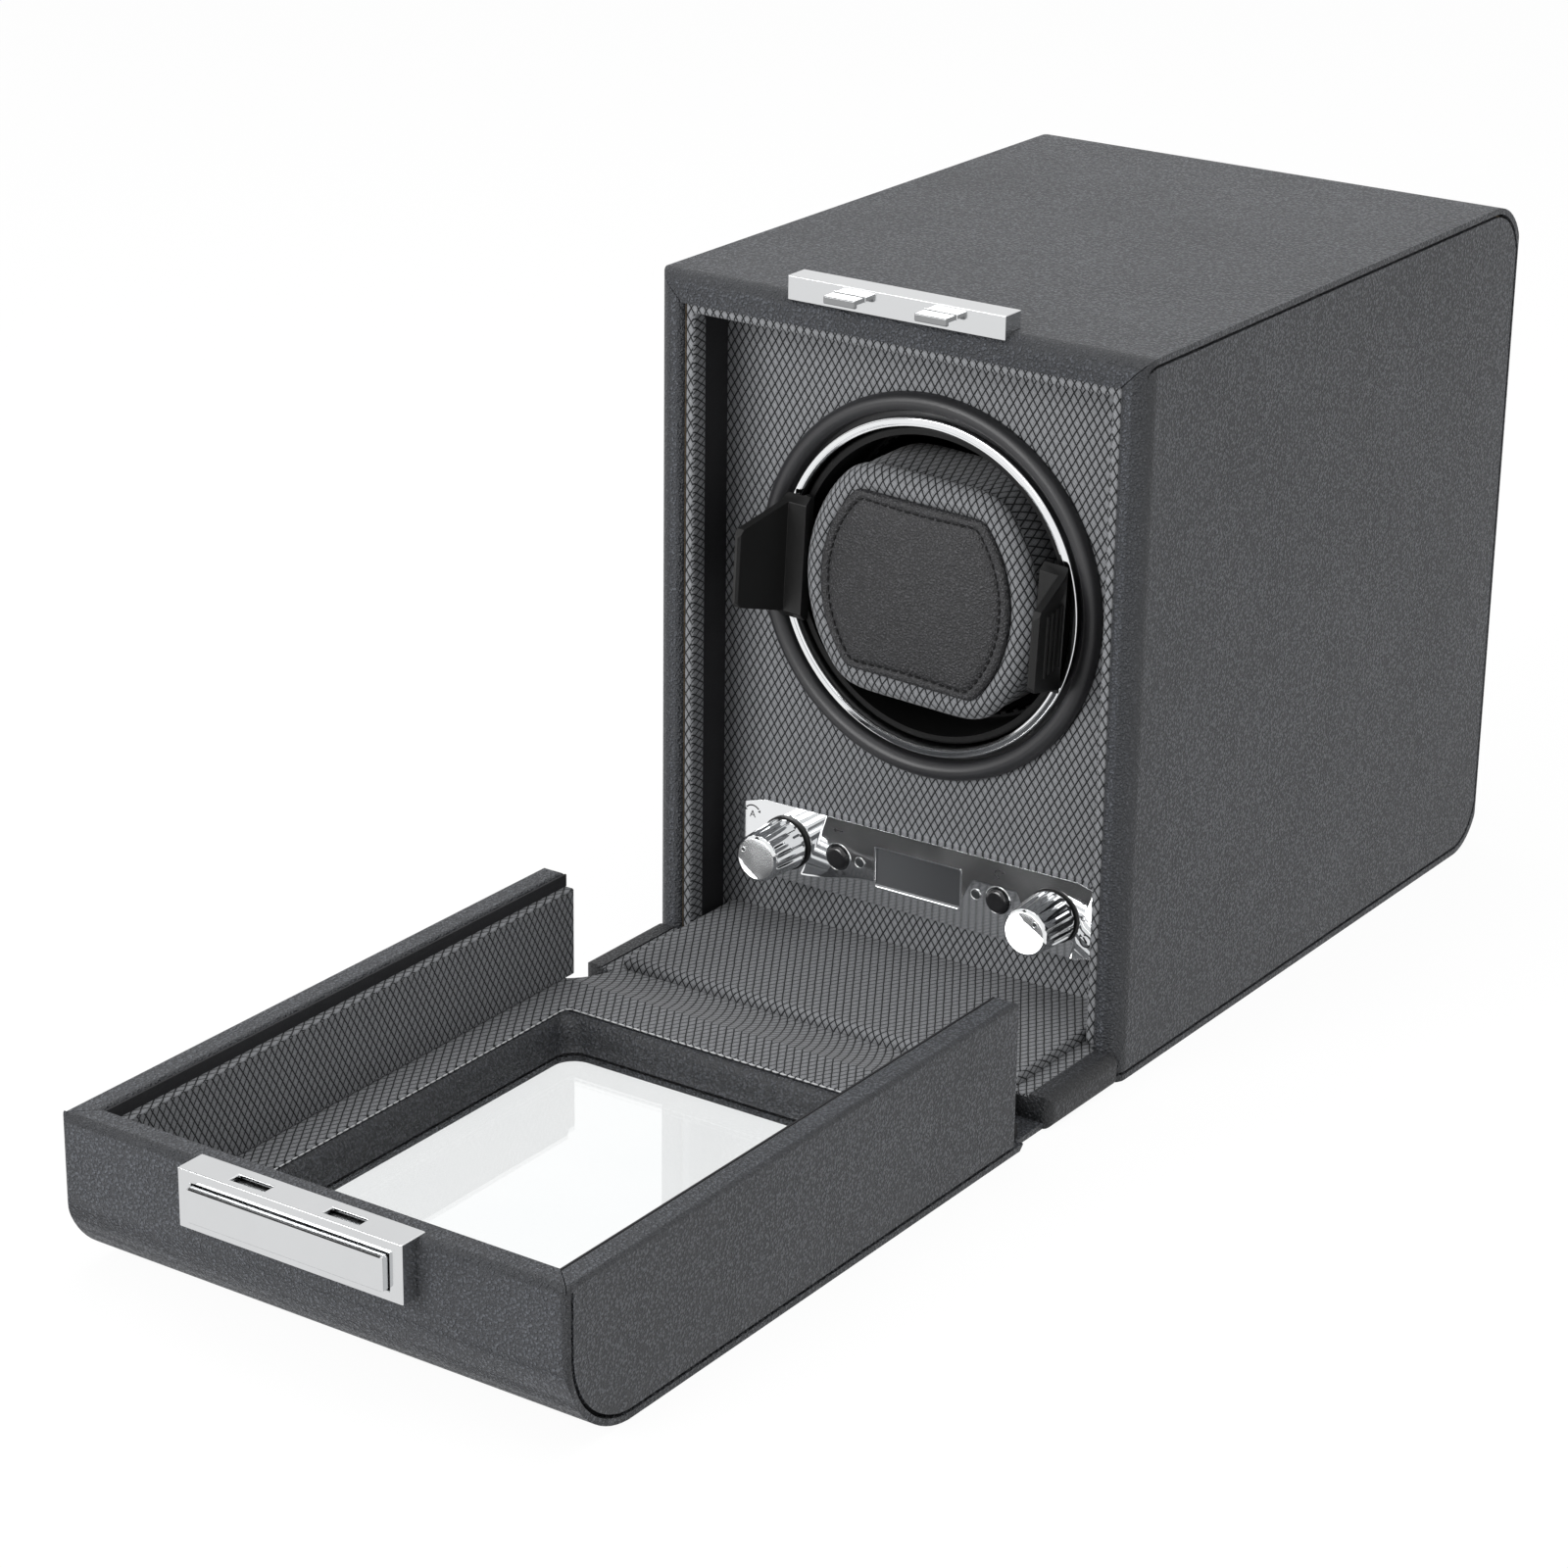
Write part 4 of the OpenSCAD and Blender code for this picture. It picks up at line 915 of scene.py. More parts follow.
class WINDER_OT_window(bpy.types.Operator):
    """Adds the rounded leather reveal, the pane and the dark linings; the reveal and the lid's band are
    darkened as painted shade
    """

    bl_idname = "winder.window"
    bl_label = "Window and linings"

    def execute(self, context):
        dress("inner_lining", "lining_and_band_shade", "case", 0.15 * MM)
        # The lid's inner band is leather in shade, drawn in the black lining: painted shade.
        dress("lid_band", "lining_and_band_shade", "lid", 0.12 * MM)
        self.reveal()
        dress("window_glass", "glass", "lid", 0.3 * MM)
        return {"FINISHED"}

    def reveal(self):
        """Leather turned over the edge of the window opening, from the cloth down to the pane, in a darker
        copy of the case leather as painted shade.
        """
        low, high = REVEAL_LOW.z, REVEAL_HIGH.z
        rim = 5 * MM
        profile = [(0.0, low), (0.0, high - 0.5 * MM), (0.3 * MM, high - 0.15 * MM),
                   (0.8 * MM, high), (1.8 * MM, high - 0.05 * MM)]
        for k in range(1, 10):
            a = math.pi / 2 * k / 9
            profile.append((1.8 * MM + 2.6 * MM * math.sin(a),
                            high - 0.05 * MM - (high - low - 1.6 * MM) * (1 - math.cos(a)) * 0.98))
        profile += [(rim - 0.2 * MM, low + 0.6 * MM), (rim, low)]
        rings = []
        for inset, z in profile:
            outline = rounded_rectangle(REVEAL_HIGH.x - inset, REVEAL_HALF_Y - inset,
                                        0.8 * MM + inset * 0.9, 6)
            rings.append([(p.x, REVEAL_Y + p.y, z) for p in outline])
        # The reveal takes the darker copy of the case leather: painted shade.
        piece("window_reveal_finish", mesh_from(tube(rings), "reveal"), "shaded_reveal_leather", "lid",
              ("window_reveal",), smooth=50)


# ---------------------------------------------------------------- ring and drum

class WINDER_OT_ring(bpy.types.Operator):
    """Finishes the soft surround, the polished ring and the turning cup behind them"""

    bl_idname = "winder.ring"
    bl_label = "Ring and drum"

    def execute(self, context):
        dress("ring_surround", "soft_bead", "case")
        inner, outer = RING_HIGH.z - AXIS_Z - 2.5 * MM, RING_HIGH.z - AXIS_Z
        front, back = RING_LOW.y, RING_HIGH.y
        round_over = 0.6 * MM
        section = [(outer, back)]
        for k in range(7):
            a = math.pi / 2 * k / 6
            section.append((outer - round_over * (1 - math.cos(a)), front + round_over * (1 - math.sin(a))))
        section += [(inner + 0.95 * MM, front), (inner + 0.85 * MM, front + 0.2 * MM),
                    (inner + 0.7 * MM, front + 0.2 * MM), (inner + 0.6 * MM, front + 0.04 * MM),
                    (inner + 0.2 * MM, front + 0.15 * MM), (inner, front + 0.5 * MM), (inner, back)]
        piece("chrome_ring_finish", mesh_from(turned(section, 144), "ring"), "chrome", "case",
              ("chrome_ring",), smooth=30)
        for node in ("drum_cup", "grip_ring", "cuff_socket"):
            paint(node, "drum_plastic")
        return {"FINISHED"}


# ---------------------------------------------------------------- controls

def plate_ribbon(bm, points, width, y):
    """A thin raised line on the control plate through points given as (x, z)."""
    left, right = [], []
    for i, p in enumerate(points):
        before, after = points[max(i - 1, 0)], points[min(i + 1, len(points) - 1)]
        run = (Vector(after) - Vector(before)).normalized()
        side = Vector((-run.y, run.x)) * width / 2
        left.append(Vector(p) + side)
        right.append(Vector(p) - side)
    outline = left + right[::-1]
    plate_shape(bm, outline, y, strip=len(left))


def plate_shape(bm, outline, y, strip=0):
    """A flat mark, from an outline of (x, z) points; strip counts one side of a ribbon's outline."""
    front = [bm.verts.new((p[0], y - MARK_DEPTH, p[1])) for p in outline]
    back = [bm.verts.new((p[0], y, p[1])) for p in outline]
    count = len(outline)
    if strip:
        for ring in (front, back):
            for i in range(strip - 1):
                bm.faces.new((ring[i], ring[i + 1], ring[count - 2 - i], ring[count - 1 - i]))
    else:
        bm.faces.new(front)
        bm.faces.new(back)
    for i in range(count):
        j = (i + 1) % count
        bm.faces.new((front[i], front[j], back[j], back[i]))


def arc_points(cx, cz, radius, start, end, steps=16):
    """Points of an arc, angles in degrees anticlockwise from +X."""
    angles = [math.radians(start + (end - start) * k / steps) for k in range(steps + 1)]
    return [(cx + radius * math.cos(t), cz + radius * math.sin(t)) for t in angles]


def arrow_head(bm, x, z, heading, size, y):
    """A small triangle at (x, z) that points the way of heading, in degrees anticlockwise from +X."""
    a = math.radians(heading)
    ahead, aside = (math.cos(a), math.sin(a)), (-math.sin(a), math.cos(a))
    plate_shape(bm, [(x + ahead[0] * size, z + ahead[1] * size),
                     (x + aside[0] * size * 0.7, z + aside[1] * size * 0.7),
                     (x - aside[0] * size * 0.7, z - aside[1] * size * 0.7)], y)


def lettering(bm, text, x, z, height, y):
    """Plain capital letters on the plate, centred on (x, z)."""
    curve = bpy.data.curves.new("letters", "FONT")
    curve.body, curve.size = text, height / 0.73
    curve.align_x, curve.align_y = "CENTER", "CENTER"
    curve.extrude = MARK_DEPTH / 2
    curve.resolution_u = 3
    holder = placed("letters", curve)
    mesh = final_mesh(holder)
    mesh.transform(Matrix.Translation((x, y - MARK_DEPTH / 2, z)) @ Matrix.Rotation(math.pi / 2, 4, "X"))
    bm.from_mesh(mesh)
    bpy.data.objects.remove(holder)


class WINDER_OT_controls(bpy.types.Operator):
    """Adds the plated control plate with its screen, lamps, marks, buttons and knobs"""

    bl_idname = "winder.controls"
    bl_label = "Control plate"

    def execute(self, context):
        dress("control_plate", "pressed_plate", "case", 0.35 * MM)
        self.screen()
        dress("lamp_lenses", "lamp", "case", 0.3 * MM)
        self.bezels()
        self.marks()
        for side, x in (("left", -1), ("right", 1)):
            dress("button_" + side, "gloss_black", side + "_button", 0.15 * MM)
            self.knob(context, side, x)
            paint("knob_collar_" + side, "black_plastic")
        return {"FINISHED"}

    def screen(self):
        """The sunk screen film with a plated bevel round its window."""
        low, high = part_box("screen_lens")
        dress("screen_lens", "screen", "case", 0.1 * MM)
        z_mid, half_z = (low.z + high.z) / 2, (high.z - low.z) / 2
        rings = []
        for out, y in ((0.1, 0.3), (0.5, -0.02), (0.45, -0.12), (0.25, -0.15), (0.08, -0.06),
                       (-0.03, 0.45), (0.0, 0.49)):
            outline = rounded_rectangle(high.x + out * MM, half_z + out * MM, 0.7 * MM, 5)
            rings.append([(p.x, PLATE_LOW.y + y * MM, z_mid + p.y) for p in outline])
        piece("screen_bevel", mesh_from(tube(rings), "bevel"), "chrome", "case")

    def bezels(self):
        """Thin plated rims round the buttons and lamps."""
        lamp_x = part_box("lamp_lenses")[1].x - LAMP_RADIUS
        bm = bmesh.new()
        for x, radius, rim in ((lamp_x, LAMP_RADIUS, 0.36 * MM), (BUTTON_X, 3.42 * MM, 0.4 * MM)):
            for sign in (-1, 1):
                rings = []
                for k in range(9):
                    a = 2 * math.pi * k / 8
                    y = PLATE_LOW.y - 0.02 * MM - max(0, math.sin(a)) * 0.3 * MM
                    rings.append(circle(sign * x, PLATE_Z, radius + rim / 2 * (1 - math.cos(a)), y, 40))
                part = loft(rings, closed_ends=False)
                bmesh.ops.remove_doubles(part, verts=part.verts, dist=1e-7)
                bmesh.ops.recalc_face_normals(part, faces=part.faces)
                bm.from_mesh(mesh_from(part, "rim"))
        piece("control_rims", mesh_from(bm, "rims"), "chrome", "case", smooth=60)

    def marks(self):
        """Printed turn arrows and the plain words at the ends of the plate."""
        bm = bmesh.new()
        y, z = PLATE_LOW.y, PLATE_Z
        button = BUTTON_X / MM
        thin = 0.36 * MM
        arcs = ((-51.2, 5.4, 2.5, 140, 40, 1.0), (button - 0.2, 7.0, 1.1, 60, 290, 1.0),
                (49.9, -4.6, 1.6, 110, -190, 1.2))
        lines = (((-button - 1.2, 7.2), (-button + 1.3, 7.2), 1.0), ((50.3, -5.1), (49.2, -3.7), 1.5))
        heads = ((-49.2, 6.7, -50, 0.7), (-53.2, 6.7, -130, 0.7), (-button - 0.9, 7.2, 180, 0.9),
                 (button + 0.9, 7.7, -20, 0.8), (48.5, -3.8, 100, 0.8))
        words = (("A", -51.2, 5.4, 2.0), ("OFF", 50.0, 5.6, 1.55), ("ON", 49.9, 1.2, 1.55))
        for across, up, radius, start, end, thick in arcs:
            arc = arc_points(across * MM, z + up * MM, radius * MM, start, end)
            plate_ribbon(bm, arc, thin * thick, y)
        for *ends, thick in lines:
            plate_ribbon(bm, [(across * MM, z + up * MM) for across, up in ends], thin * thick, y)
        for across, up, heading, size in heads:
            arrow_head(bm, across * MM, z + up * MM, heading, size * MM, y)
        for text, across, up, height in words:
            lettering(bm, text, across * MM, z + up * MM, height * MM, y)
        bmesh.ops.recalc_face_normals(bm, faces=bm.faces)
        piece("plate_marks", mesh_from(bm, "marks"), "mark_ink", "case", smooth=None)

    def knob(self, context, side, sign):
        """A deep fluted barrel, slightly tapered, with a bevelled mirror face and a pointer dimple."""
        low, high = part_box("knob_" + side)
        x, z = (low.x + high.x) / 2, (low.z + high.z) / 2
        radius = (high.x - low.x) / 2
        flutes = context.scene.winder_sizes.flutes
        per = 10
        count = flutes * per
        y0 = low.y
        length = PLATE_LOW.y - KNOB_GAP - y0
        rows = [(0.55, 0.0, 0.0), (0.84, 0.0, 0.0), (0.875, 0.02 * MM, 0.0), (0.955, 0.42 * MM, 0.0),
                (0.985, 0.62 * MM, 0.1), (1.0, 0.95 * MM, 0.6), (1.0, 1.5 * MM, 1.0),
                (1.0, length - 1.5 * MM, 1.0), (1.0, length - 1.0 * MM, 0.7),
                (0.99, length - 0.6 * MM, 0.1), (0.97, length - 0.25 * MM, 0.0), (0.93, length, 0.0)]
        rings = []
        for share, depth, cut in rows:
            ring = []
            taper = 0.9 + 0.1 * depth / length
            for i in range(count):
                t = 2 * math.pi * i / count
                wave = 0.5 - 0.5 * math.cos(2 * math.pi * (i % per) / per)
                r = radius * taper * share - cut * 0.5 * MM * wave ** 1.7
                ring.append((x + r * math.cos(t), y0 + depth, z + r * math.sin(t)))
            rings.append(ring)
        bm = loft(rings, closed_ends=True)
        self.spindle(bm, x, z)
        mesh = mesh_from(bm, "knob")
        mesh.materials.append(finish("chrome"))
        mesh.materials.append(finish(side + "_face"))
        for face in mesh.polygons:
            face.material_index = int(abs(face.center.y - y0) < 0.015 * MM)
        piece("knob_" + side + "_finish", mesh, None, side + "_knob", ("knob_" + side,), smooth=32)
        place = (x - 3.9 * MM, z + 1.8 * MM) if sign < 0 else (x + 2.9 * MM, z + 2.9 * MM)
        dot = bmesh.new()
        plate_shape(dot, arc_points(*place, 0.5 * MM, 0, 340, 16), y0 - 0.005 * MM)
        bmesh.ops.recalc_face_normals(dot, faces=dot.faces)
        piece("knob_" + side + "_dot", mesh_from(dot, "dot"), "mark_ink", side + "_knob",
              smooth=None)
        rim = []
        for k in range(8):
            a = math.pi * k / 7
            r, y = 0.66 * MM - 0.16 * MM * math.cos(a), y0 + 0.02 * MM - 0.14 * MM * math.sin(a)
            rim.append(circle(*place, r, y, 28))
        piece("knob_" + side + "_dimple", mesh_from(tube(rim), "dimple"), "chrome", side + "_knob",
              smooth=60)

    def spindle(self, bm, x, z):
        """The knob's spindle, down to its socket."""
        ends = (PLATE_LOW.y - 1.0 * MM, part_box("knob_right")[1].y)
        part = loft([circle(x, z, SPINDLE_RADIUS, y, 24) for y in ends])
        bm.from_mesh(mesh_from(part, "spindle"))


# ---------------------------------------------------------------- cuff

class WINDER_OT_cuff(bpy.types.Operator):
    """Adds the padded watch cuff: cloth cushion, stitched leather pad and its clip"""

    bl_idname = "winder.cuff"
    bl_label = "Watch cuff"

    def execute(self, context):
        self.cushion(context.scene.winder_sizes)
        self.pad(context.scene.winder_sizes)
        dress("cuff_clip", "black_plastic", "cuff", 0.35 * MM)
        return {"FINISHED"}

    def outline(self, half_w, half_h, flat, passes, count):
        """Barrel outline: flat top and bottom, bowed flanks and soft corners, round the drum axis."""
        bow = half_w - flat
        radius = (half_h ** 2 + bow ** 2) / (2 * bow)
        sweep = math.asin(half_h / radius)
        flank = [Vector((half_w - radius + radius * math.cos(a), radius * math.sin(a)))
                 for a in [sweep * (k / 12 - 1) for k in range(25)]]
        shape = resampled(flank + [-p for p in flank], count)
        for _ in range(passes):
            shape = [shape[i] * 0.5 + (shape[i - 1] + shape[(i + 1) % count]) * 0.25 for i in range(count)]
        return shape

    def ring(self, shape, share, inset, y, turn):
        """The outline scaled by share, drawn in by inset, and turned with the cuff."""
        out = []
        for p in shape:
            scale = max(share * (p.length - inset) / p.length, 0.0)
            x, z = p.x * scale, p.y * scale
            out.append(Vector((x * math.cos(turn) + z * math.sin(turn), y,
                               AXIS_Z - x * math.sin(turn) + z * math.cos(turn))))
        return out

    def cushion(self, sizes):
        """Rows of the outline from the middle of the front to the back, with the seam as a groove."""
        shape = self.outline(sizes.cushion_width, sizes.cushion_height, sizes.cushion_width * 0.6, 22, 160)
        front, back = CUSHION_LOW.y, CUSHION_HIGH.y
        rows = [(0.02, 0.0, 0.4), (0.3, 0.0, 0.4), (0.6, 0.0, 0.4)]
        rows += [(1.0, inset, y) for inset, y in (
            (8.4, 0.4), (7.2, 0.3), (6.5, 0.0), (5.8, -0.45), (4.9, -0.78), (4.0, -0.85), (3.1, -0.72),
            (2.2, -0.3), (1.3, 0.3), (0.6, 1.0), (0.15, 1.8), (-0.05, 2.6), (0.0, 3.2), (0.5, 3.6),
            (2.3, 4.0), (1.5, 4.4), (0.95, 4.8), (0.8, 5.8), (0.6, 8.0), (0.4, 14.0), (0.3, 22.0),
            (0.5, 25.5), (1.1, 27.2), (2.4, 28.0))]
        rows.append((0.4, 0.0, 28.0))
        deepest = rows[-1][2]
        rings = [self.ring(shape, share, inset * MM, front + (back - front) * y / deepest, sizes.cuff_turn)
                 for share, inset, y in rows]
        bm = loft(rings)
        self.lay_cloth(bm, rings, seam=[y for share, inset, y in rows].index(4.0))
        obj = piece("cuff_cushion_finish", mesh_from(bm, "cushion"), "diamond_cloth", "cuff",
                    ("cuff_cushion",), smooth=None)

    def lay_cloth(self, bm, rings, seam):
        """Unrolls the cloth outwards over the front, and along the sides behind the seam."""
        count = len(rings[0])
        bm.verts.index_update()
        around = [0.0]
        for i in range(count):
            around.append(around[-1] + (rings[seam][(i + 1) % count] - rings[seam][i]).length)
        reach = [[0.0] * count for _ in rings]
        for k, ring in enumerate(rings):
            for i, p in enumerate(ring):
                out = Vector((p.x, p.z - AXIS_Z))
                reach[k][i] = out.length if k == 0 else reach[k - 1][i] + (p - rings[k - 1][i]).length
        layer = bm.loops.layers.uv.verify()
        for face in bm.faces:
            spots = [divmod(v.index, count) for v in face.verts if v.index < count * len(rings)]
            side = min(row for row, i in spots) >= seam
            wraps = {i for row, i in spots} == {0, count - 1}
            for loop in face.loops:
                row, i = divmod(loop.vert.index, count)
                if row >= len(rings):
                    loop[layer].uv = (0.0, 0.0)
                elif side:
                    loop[layer].uv = (around[count if wraps and i == 0 else i],
                                      (rings[row][i].y - rings[seam][i].y) * 0.6)
                else:
                    out = Vector((rings[row][i].x, rings[row][i].z - AXIS_Z)).normalized() * reach[row][i]
                    loop[layer].uv = (out.x, out.y)

    def pad(self, sizes):
        """Domed leather pad with a raised margin, a stitch line and puckers between the stitches."""
        shape = self.outline(sizes.pad_width, sizes.pad_height, sizes.pad_width * 0.67, 16, 432)
        inset = sizes.stitch_inset
        line = self.ring(shape, 1.0, inset, PAD_Y + 0.08 * MM, sizes.cuff_turn)
        length = sum((line[i] - line[i - 1]).length for i in range(len(line)))
        stitches = int(length / (sizes.stitch * 1.32))
        rows = [(0.5, 0.0, 2.1), (1.0, 0.9, 2.1), (1.0, 0.12, 1.6), (1.0, 0.0, 1.0), (1.0, 0.08, 0.5),
                (1.0, 0.35, 0.12), (1.0, 0.8, -0.12), (1.0, 1.3, -0.24), (1.0, 1.8, -0.22), (1.0, 2.2, -0.04),
                (1.0, 2.6, 0.28), (1.0, 3.0, 0.1), (1.0, 3.5, -0.24), (1.0, 4.2, -0.42)]
        start = (sizes.pad_height - 4.2 * MM) / sizes.pad_height
        for k in range(1, 12):
            share = start * (1 - k / 12)
            rows.append((share, 0.0, -0.38 - sizes.pad_crown / MM * (1 - (share / start) ** 2)))
        rings = []
        for share, draw, y in rows:
            ring = self.ring(shape, share, draw * MM, PAD_Y + y * MM, sizes.cuff_turn)
            pull = 0.13 * MM * math.exp(-((draw * MM - inset) / (0.7 * MM)) ** 2) if share == 1.0 else 0.0
            walked = 0.0
            for i, p in enumerate(ring):
                if pull:
                    p.y += pull * math.cos(2 * math.pi * walked / length * stitches)
                walked += (line[(i + 1) % len(line)] - line[i]).length
            rings.append(ring)
        obj = piece("cuff_pad_finish", mesh_from(loft(rings), "pad"), "cuff_leather", "cuff",
                    ("cuff_pad",), smooth=None)
        mesh = stitched("pad_stitches", line, "black_thread",
                        Pitch=length / stitches, Length=sizes.stitch, Width=0.55 * MM)
        piece("pad_stitches", mesh, None, "cuff", smooth=None)


# ---------------------------------------------------------------- latch

class WINDER_OT_latch(bpy.types.Operator):
    """Finishes the plated latch on the lid and the strike with its hooks on the case"""

    bl_idname = "winder.latch"
    bl_label = "Latch"

    def execute(self, context):
        dress("strike_plate", "strike_chrome", "case", 0.4 * MM, steps=4)
        dress("latch_plate", "satin_chrome", "lid", 0.3 * MM)
        low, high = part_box("push_bar")
        bm = bmesh.new()
        bmesh.ops.create_cube(bm, size=1.0)
        bmesh.ops.scale(bm, vec=high - low, verts=bm.verts)
        bmesh.ops.translate(bm, vec=(low + high) / 2, verts=bm.verts)
        round_edges(bm, 0.7 * MM, 3, outer_edges(low, high, ("x", "z")))
        round_edges(bm, 1.9 * MM, 1, outer_edges(low, high, ("-y", "+z")))
        round_edges(bm, 0.4 * MM, 2, outer_edges(low, high, ("-y", "x"), ("-y", "-z")), sharp=50)
        piece("push_bar_finish", mesh_from(bm, "push_bar"), "satin_chrome", "latch_bar",
              ("push_bar",), smooth=25)
        for node in ("latch_catch", "latch_springs"):
            paint(node, "steel")
        return {"FINISHED"}


# ---------------------------------------------------------------- hinge strips

class WINDER_OT_hinge(bpy.types.Operator):
    """Adds the leather and cloth strips that join the sill to the lid"""

    bl_idname = "winder.hinge"
    bl_label = "Hinge strips"

    def execute(self, context):
        low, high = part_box("hinge_leather")
        self.strip("hinge_leather", "case_leather", "case_leather",
                   [(high.y + 0.2 * MM, 0.1 * MM), (low.y - 0.2 * MM, 0.1 * MM)], 1.5 * MM, high.x,
                   (0, high.y, 0), (0, low.y, 0))
        low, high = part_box("hinge_fabric")
        self.strip("hinge_fabric", "diamond_cloth", "diamond_fabric",
                   [(high.y + 0.4 * MM, low.z), (low.y - 0.2 * MM, high.z - 0.8 * MM)],
                   0.7 * MM, high.x, (0, high.y, low.z), (0, low.y, high.z))
        return {"FINISHED"}

    def strip(self, node, material, slot, ends, thick, half, start, end):
        """A flat strip across the hinge, cut fine along its length."""
        (y0, z0), (y1, z1) = ends
        steps = 24
        rings = []
        for k in range(steps + 1):
            t = k / steps
            y, z = y0 + (y1 - y0) * t, z0 + (z1 - z0) * t
            sag = math.sin(math.pi * t) * 0.5 * MM if z1 != z0 else 0.0
            rings.append([(-half, y, z - sag), (half, y, z - sag),
                          (half, y, z - sag + thick), (-half, y, z - sag + thick)])
        bm = loft(rings)
        box_uv(bm)
        mesh = mesh_from(bm, node)
        mesh.materials.append(finish(material))
        obj = placed(node + "_finish", mesh)
        mesh.shade_smooth()
        mesh.set_sharp_from_angle(angle=math.radians(40))
        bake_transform(obj)
        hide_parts(node)


# ---------------------------------------------------------------- inner parts

class WINDER_OT_inside(bpy.types.Operator):
    """Finishes the boards, the drive and the other parts inside the case"""

    bl_idname = "winder.inside"
    bl_label = "Inner parts"

    def execute(self, context):
        for material, nodes in (
            ("fibreboard", ("carcass", "rear_bulkhead")),
            ("dark_board", ("sill_board", "lid_board")),
            ("brass", ("bearing_bush",)),
            ("steel", ("gear_motor", "motor_screws", "drum_shaft", "shaft_clip", "hub_screws",
                       "motor_shaft", "encoders")),
            ("acetal", ("drum_gear", "pinion")),
            ("black_plastic", ("screen_module", "power_socket")),
            ("board_green", ("circuit_board",)),
        ):
            for node in nodes:
                paint(node, material)
        return {"FINISHED"}


# ---------------------------------------------------------------- stage

def bright_for_seen_rays(s, amount):
    """The amount for camera and mirror rays and 1 for through-glass rays, so the ground reads white."""
    path = s.node("ShaderNodeLightPath")
    camera, mirror = (s.math("MULTIPLY", path.outputs[name], amount)
                      for name in ("Is Camera Ray", "Is Glossy Ray"))
    through = s.math("ADD", mirror, path.outputs["Is Transmission Ray"])
    return s.math("ADD", camera, through, clamp=True)


class WINDER_OT_stage(bpy.types.Operator):
    """Adds the pale floor, the soft lamps, the dark flags for the plating and the camera"""

    bl_idname = "winder.stage"
    bl_label = "Stage"

    def execute(self, context):
        self.floor()
        self.world(context)
        self.lamps()
        self.flags()
        self.camera(context)
        context.scene.view_settings.view_transform = "Standard"
        return {"FINISHED"}

    def floor(self):
        s = Shader("pale_floor")
        s.set(Base_Color=(0.88, 0.88, 0.88, 1), Roughness=0.9, Specular_IOR_Level=0.1)
        glow = s.node("ShaderNodeEmission")
        glow.inputs["Color"].default_value = (1, 1, 1, 1)
        glow.inputs["Strength"].default_value = 1.02
        blend = s.node("ShaderNodeMixShader")
        s.join(bright_for_seen_rays(s, 0.92), blend.inputs[0])
        s.join(s.bsdf.outputs[0], blend.inputs[1])
        s.join(glow.outputs[0], blend.inputs[2])
        s.join(blend.outputs[0], s.out.inputs["Surface"])
        bm = bmesh.new()
        bmesh.ops.create_grid(bm, x_segments=2, y_segments=2, size=4.0)
        mesh = mesh_from(bm, "floor")
        mesh.transform(Matrix.Translation((0, 0, -0.15 * MM)))
        mesh.materials.append(s.material)
        placed("floor", mesh)

    def world(self, context):
        """A dim white sky for light on the parts, and a full white one for seen and mirrored rays."""
        world = bpy.data.worlds.new("studio")
        context.scene.world = world
        world.use_nodes = True
        s = Nodes(world.node_tree)
        path = s.node("ShaderNodeLightPath")
        seen = path.outputs["Is Camera Ray"]
        for name in ("Is Glossy Ray", "Is Transmission Ray"):
            seen = s.math("ADD", seen, path.outputs[name], clamp=True)
        blend = s.node("ShaderNodeMixShader")
        s.join(seen, blend.inputs[0])
        for socket, strength in ((blend.inputs[1], 0.42), (blend.inputs[2], 1.0)):
            sky = s.node("ShaderNodeBackground")
            sky.inputs["Color"].default_value = (1, 1, 1, 1)
            sky.inputs["Strength"].default_value = strength
            s.join(sky.outputs[0], socket)
        s.join(blend.outputs[0], s.node("ShaderNodeOutputWorld").inputs["Surface"])

    def lamps(self):
        for name, place, aim, size, power in (
            ("top_lamp", (0.05, 0.05, 1.3), (0, 0, 0.1), 1.2, 9.5),
            ("side_lamp", (1.4, -0.1, 0.6), (0, 0, 0.1), 0.9, 2.0),
            ("front_lamp", (-0.5, -1.5, 0.6), (0, -0.1, 0.05), 0.9, 19.0),
        ):
            light = bpy.data.lights.new(name, "AREA")
            light.shape, light.size, light.energy = "SQUARE", size, power
            obj = placed(name, light)
            obj.location = place
            obj.rotation_euler = (Vector(aim) - Vector(place)).to_track_quat("-Z", "Y").to_euler()

    def flags(self):
        """Dark cards out of view that give the plating something to mirror."""
        s = Shader("flag_cloth")
        s.set(Base_Color=(0.012, 0.012, 0.013, 1), Roughness=0.9)
        for name, place, aim, wide, high in (
            ("flag_plate", (-0.62, -1.06, 0.125), (0, -0.08, 0.03), 0.75, 0.21),
            ("flag_latch", (-0.59, -0.79, 0.70), (0, -0.33, 0.04), 0.42, 0.42),
            ("flag_right", (1.5, -0.6, 0.2), (0, 0, 0.05), 0.8, 0.5),
        ):
            mesh = bpy.data.meshes.new(name)
            turn = (Vector(aim) - Vector(place)).to_track_quat("-Z", "Y").to_matrix().to_4x4()
            corners = [(-wide / 2, -high / 2, 0), (wide / 2, -high / 2, 0),
                       (wide / 2, high / 2, 0), (-wide / 2, high / 2, 0)]
            spots = [tuple(Matrix.Translation(place) @ turn @ Vector(corner)) for corner in corners]
            mesh.from_pydata(spots, [], [(0, 1, 2, 3)])
            mesh.materials.append(s.material)
            obj = placed(name, mesh)
            for kind in ("camera", "diffuse", "shadow", "transmission", "volume_scatter"):
                setattr(obj, "visible_" + kind, False)

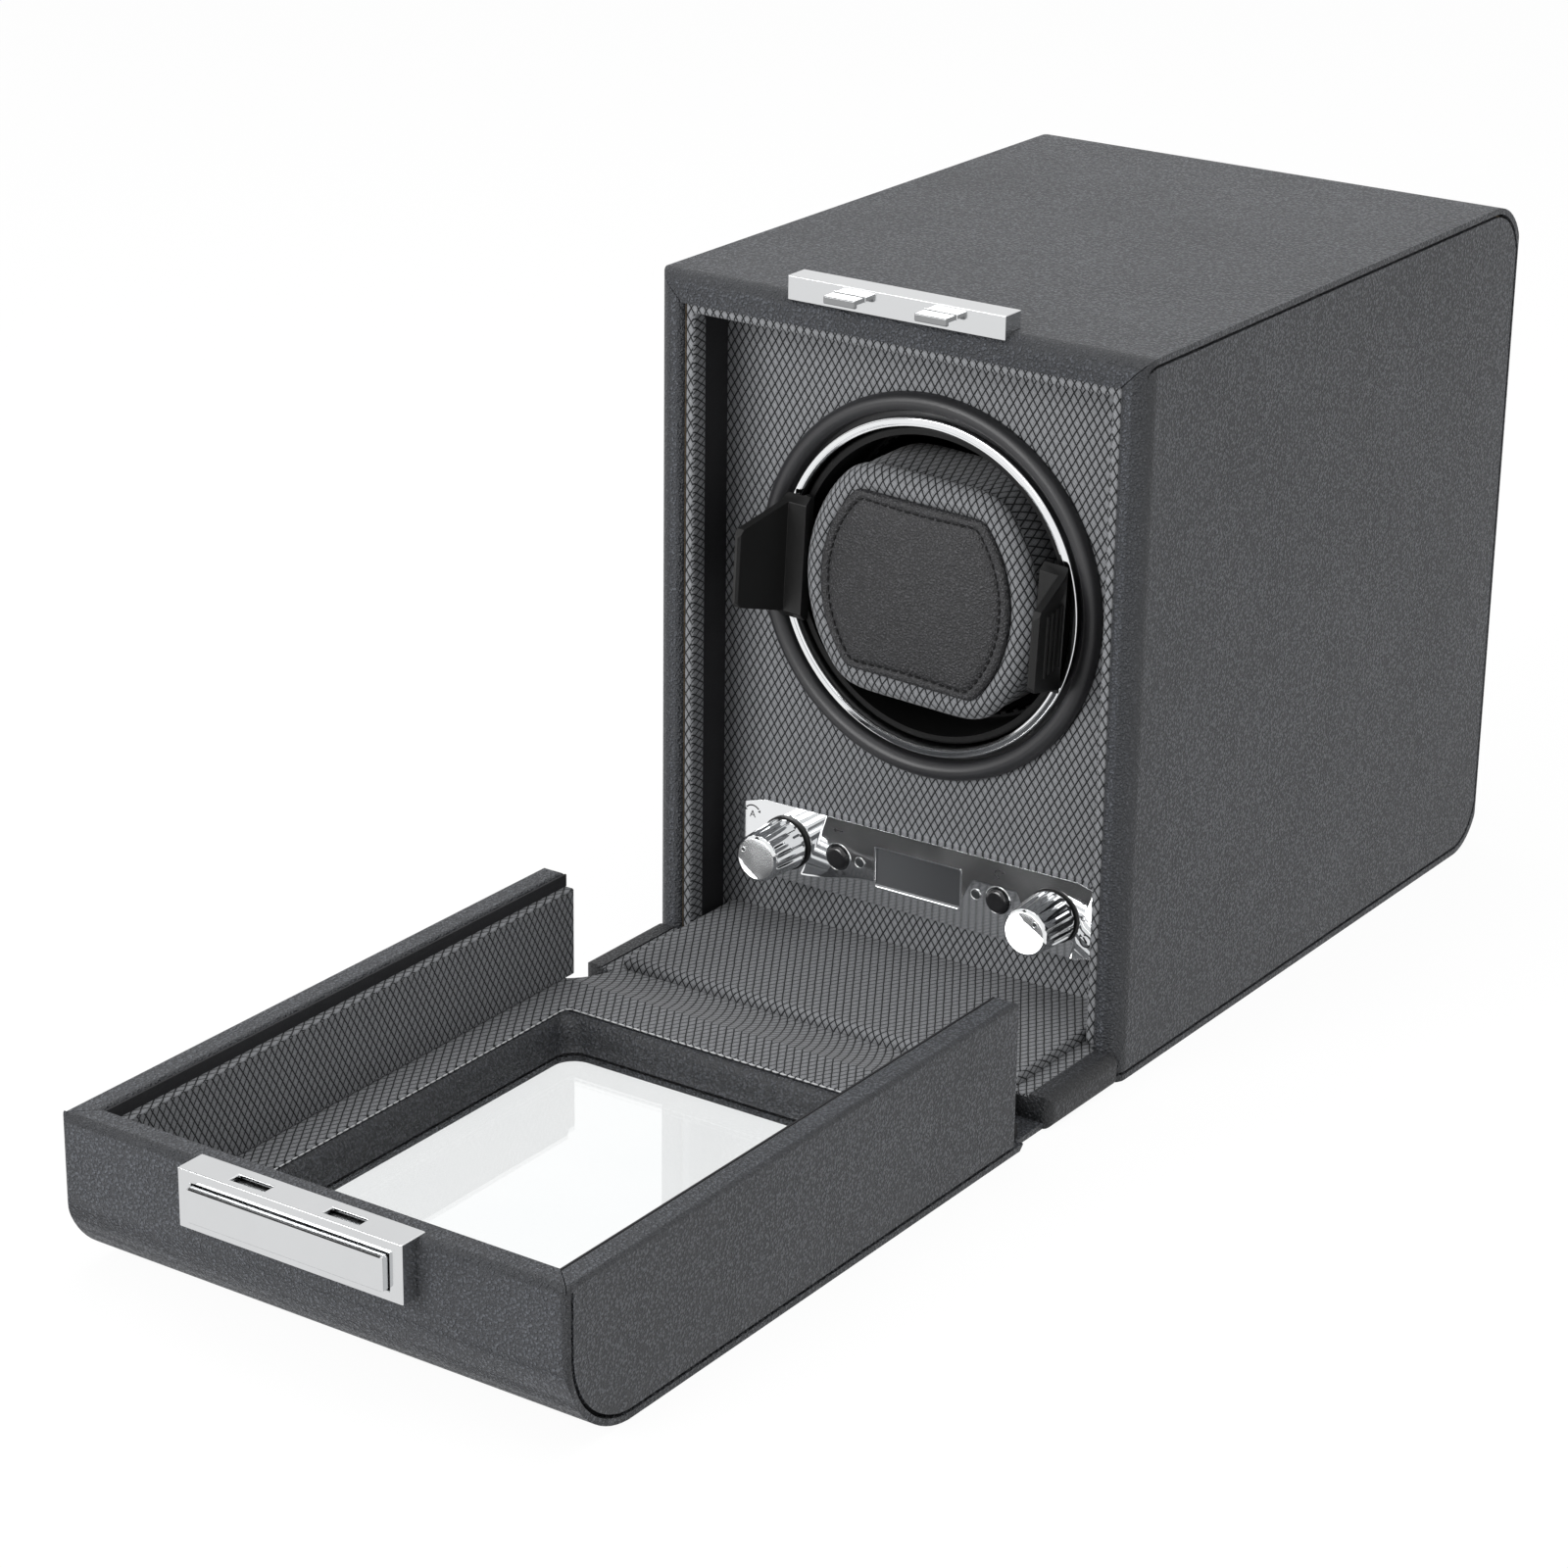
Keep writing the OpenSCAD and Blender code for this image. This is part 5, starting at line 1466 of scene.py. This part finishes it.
    def camera(self, context):
        turn, tilt, roll = math.radians(34.565), math.radians(21.638), math.radians(0.679)
        ahead = Vector((-math.sin(turn) * math.cos(tilt), math.cos(turn) * math.cos(tilt), -math.sin(tilt)))
        right = Vector((math.cos(turn), math.sin(turn), 0))
        up = right.cross(ahead)
        across = right * math.cos(roll) + up * math.sin(roll)
        upward = up * math.cos(roll) - right * math.sin(roll)
        data = bpy.data.cameras.new("camera")
        data.sensor_width, data.lens = 36, 99.97
        data.shift_x, data.shift_y = 0.0161, 0.0061
        data.clip_start, data.clip_end = 0.02, 50
        cam = placed("camera", data)
        basis = Matrix((across, upward, -ahead)).transposed().to_4x4()
        cam.matrix_world = Matrix.Translation((0.54678, -0.94729, 0.46058)) @ basis
        context.scene.camera = cam


# ---------------------------------------------------------------- panel and run

OPERATORS = (
    WINDER_OT_leather, WINDER_OT_cloth, WINDER_OT_window, WINDER_OT_ring, WINDER_OT_controls,
    WINDER_OT_cuff, WINDER_OT_latch, WINDER_OT_hinge, WINDER_OT_inside, WINDER_OT_stage,
)


class WINDER_PT_panel(bpy.types.Panel):
    """Lists the steps that dress the winder box, with their sizes and colours."""

    bl_idname = "WINDER_PT_panel"
    bl_label = "Winder box"
    bl_space_type = "VIEW_3D"
    bl_region_type = "UI"
    bl_category = "Winder"

    def draw(self, context):
        for group in (context.scene.winder_sizes, context.scene.winder_colours):
            column = self.layout.column()
            for name in group.__annotations__:
                column.prop(group, name)
        for operator in OPERATORS:
            self.layout.operator(operator.bl_idname)


CLASSES = (WinderSizes, WinderColours, *OPERATORS, WINDER_PT_panel)


def register():
    for cls in CLASSES:
        bpy.utils.register_class(cls)
    bpy.types.Scene.winder_sizes = PointerProperty(type=WinderSizes)
    bpy.types.Scene.winder_colours = PointerProperty(type=WinderColours)


def unregister():
    del bpy.types.Scene.winder_colours
    del bpy.types.Scene.winder_sizes
    for cls in reversed(CLASSES):
        bpy.utils.unregister_class(cls)


def main():
    register()
    for operator in OPERATORS:
        group, name = operator.bl_idname.split(".")
        getattr(getattr(bpy.ops, group), name)()


if __name__ == "__main__":
    main()
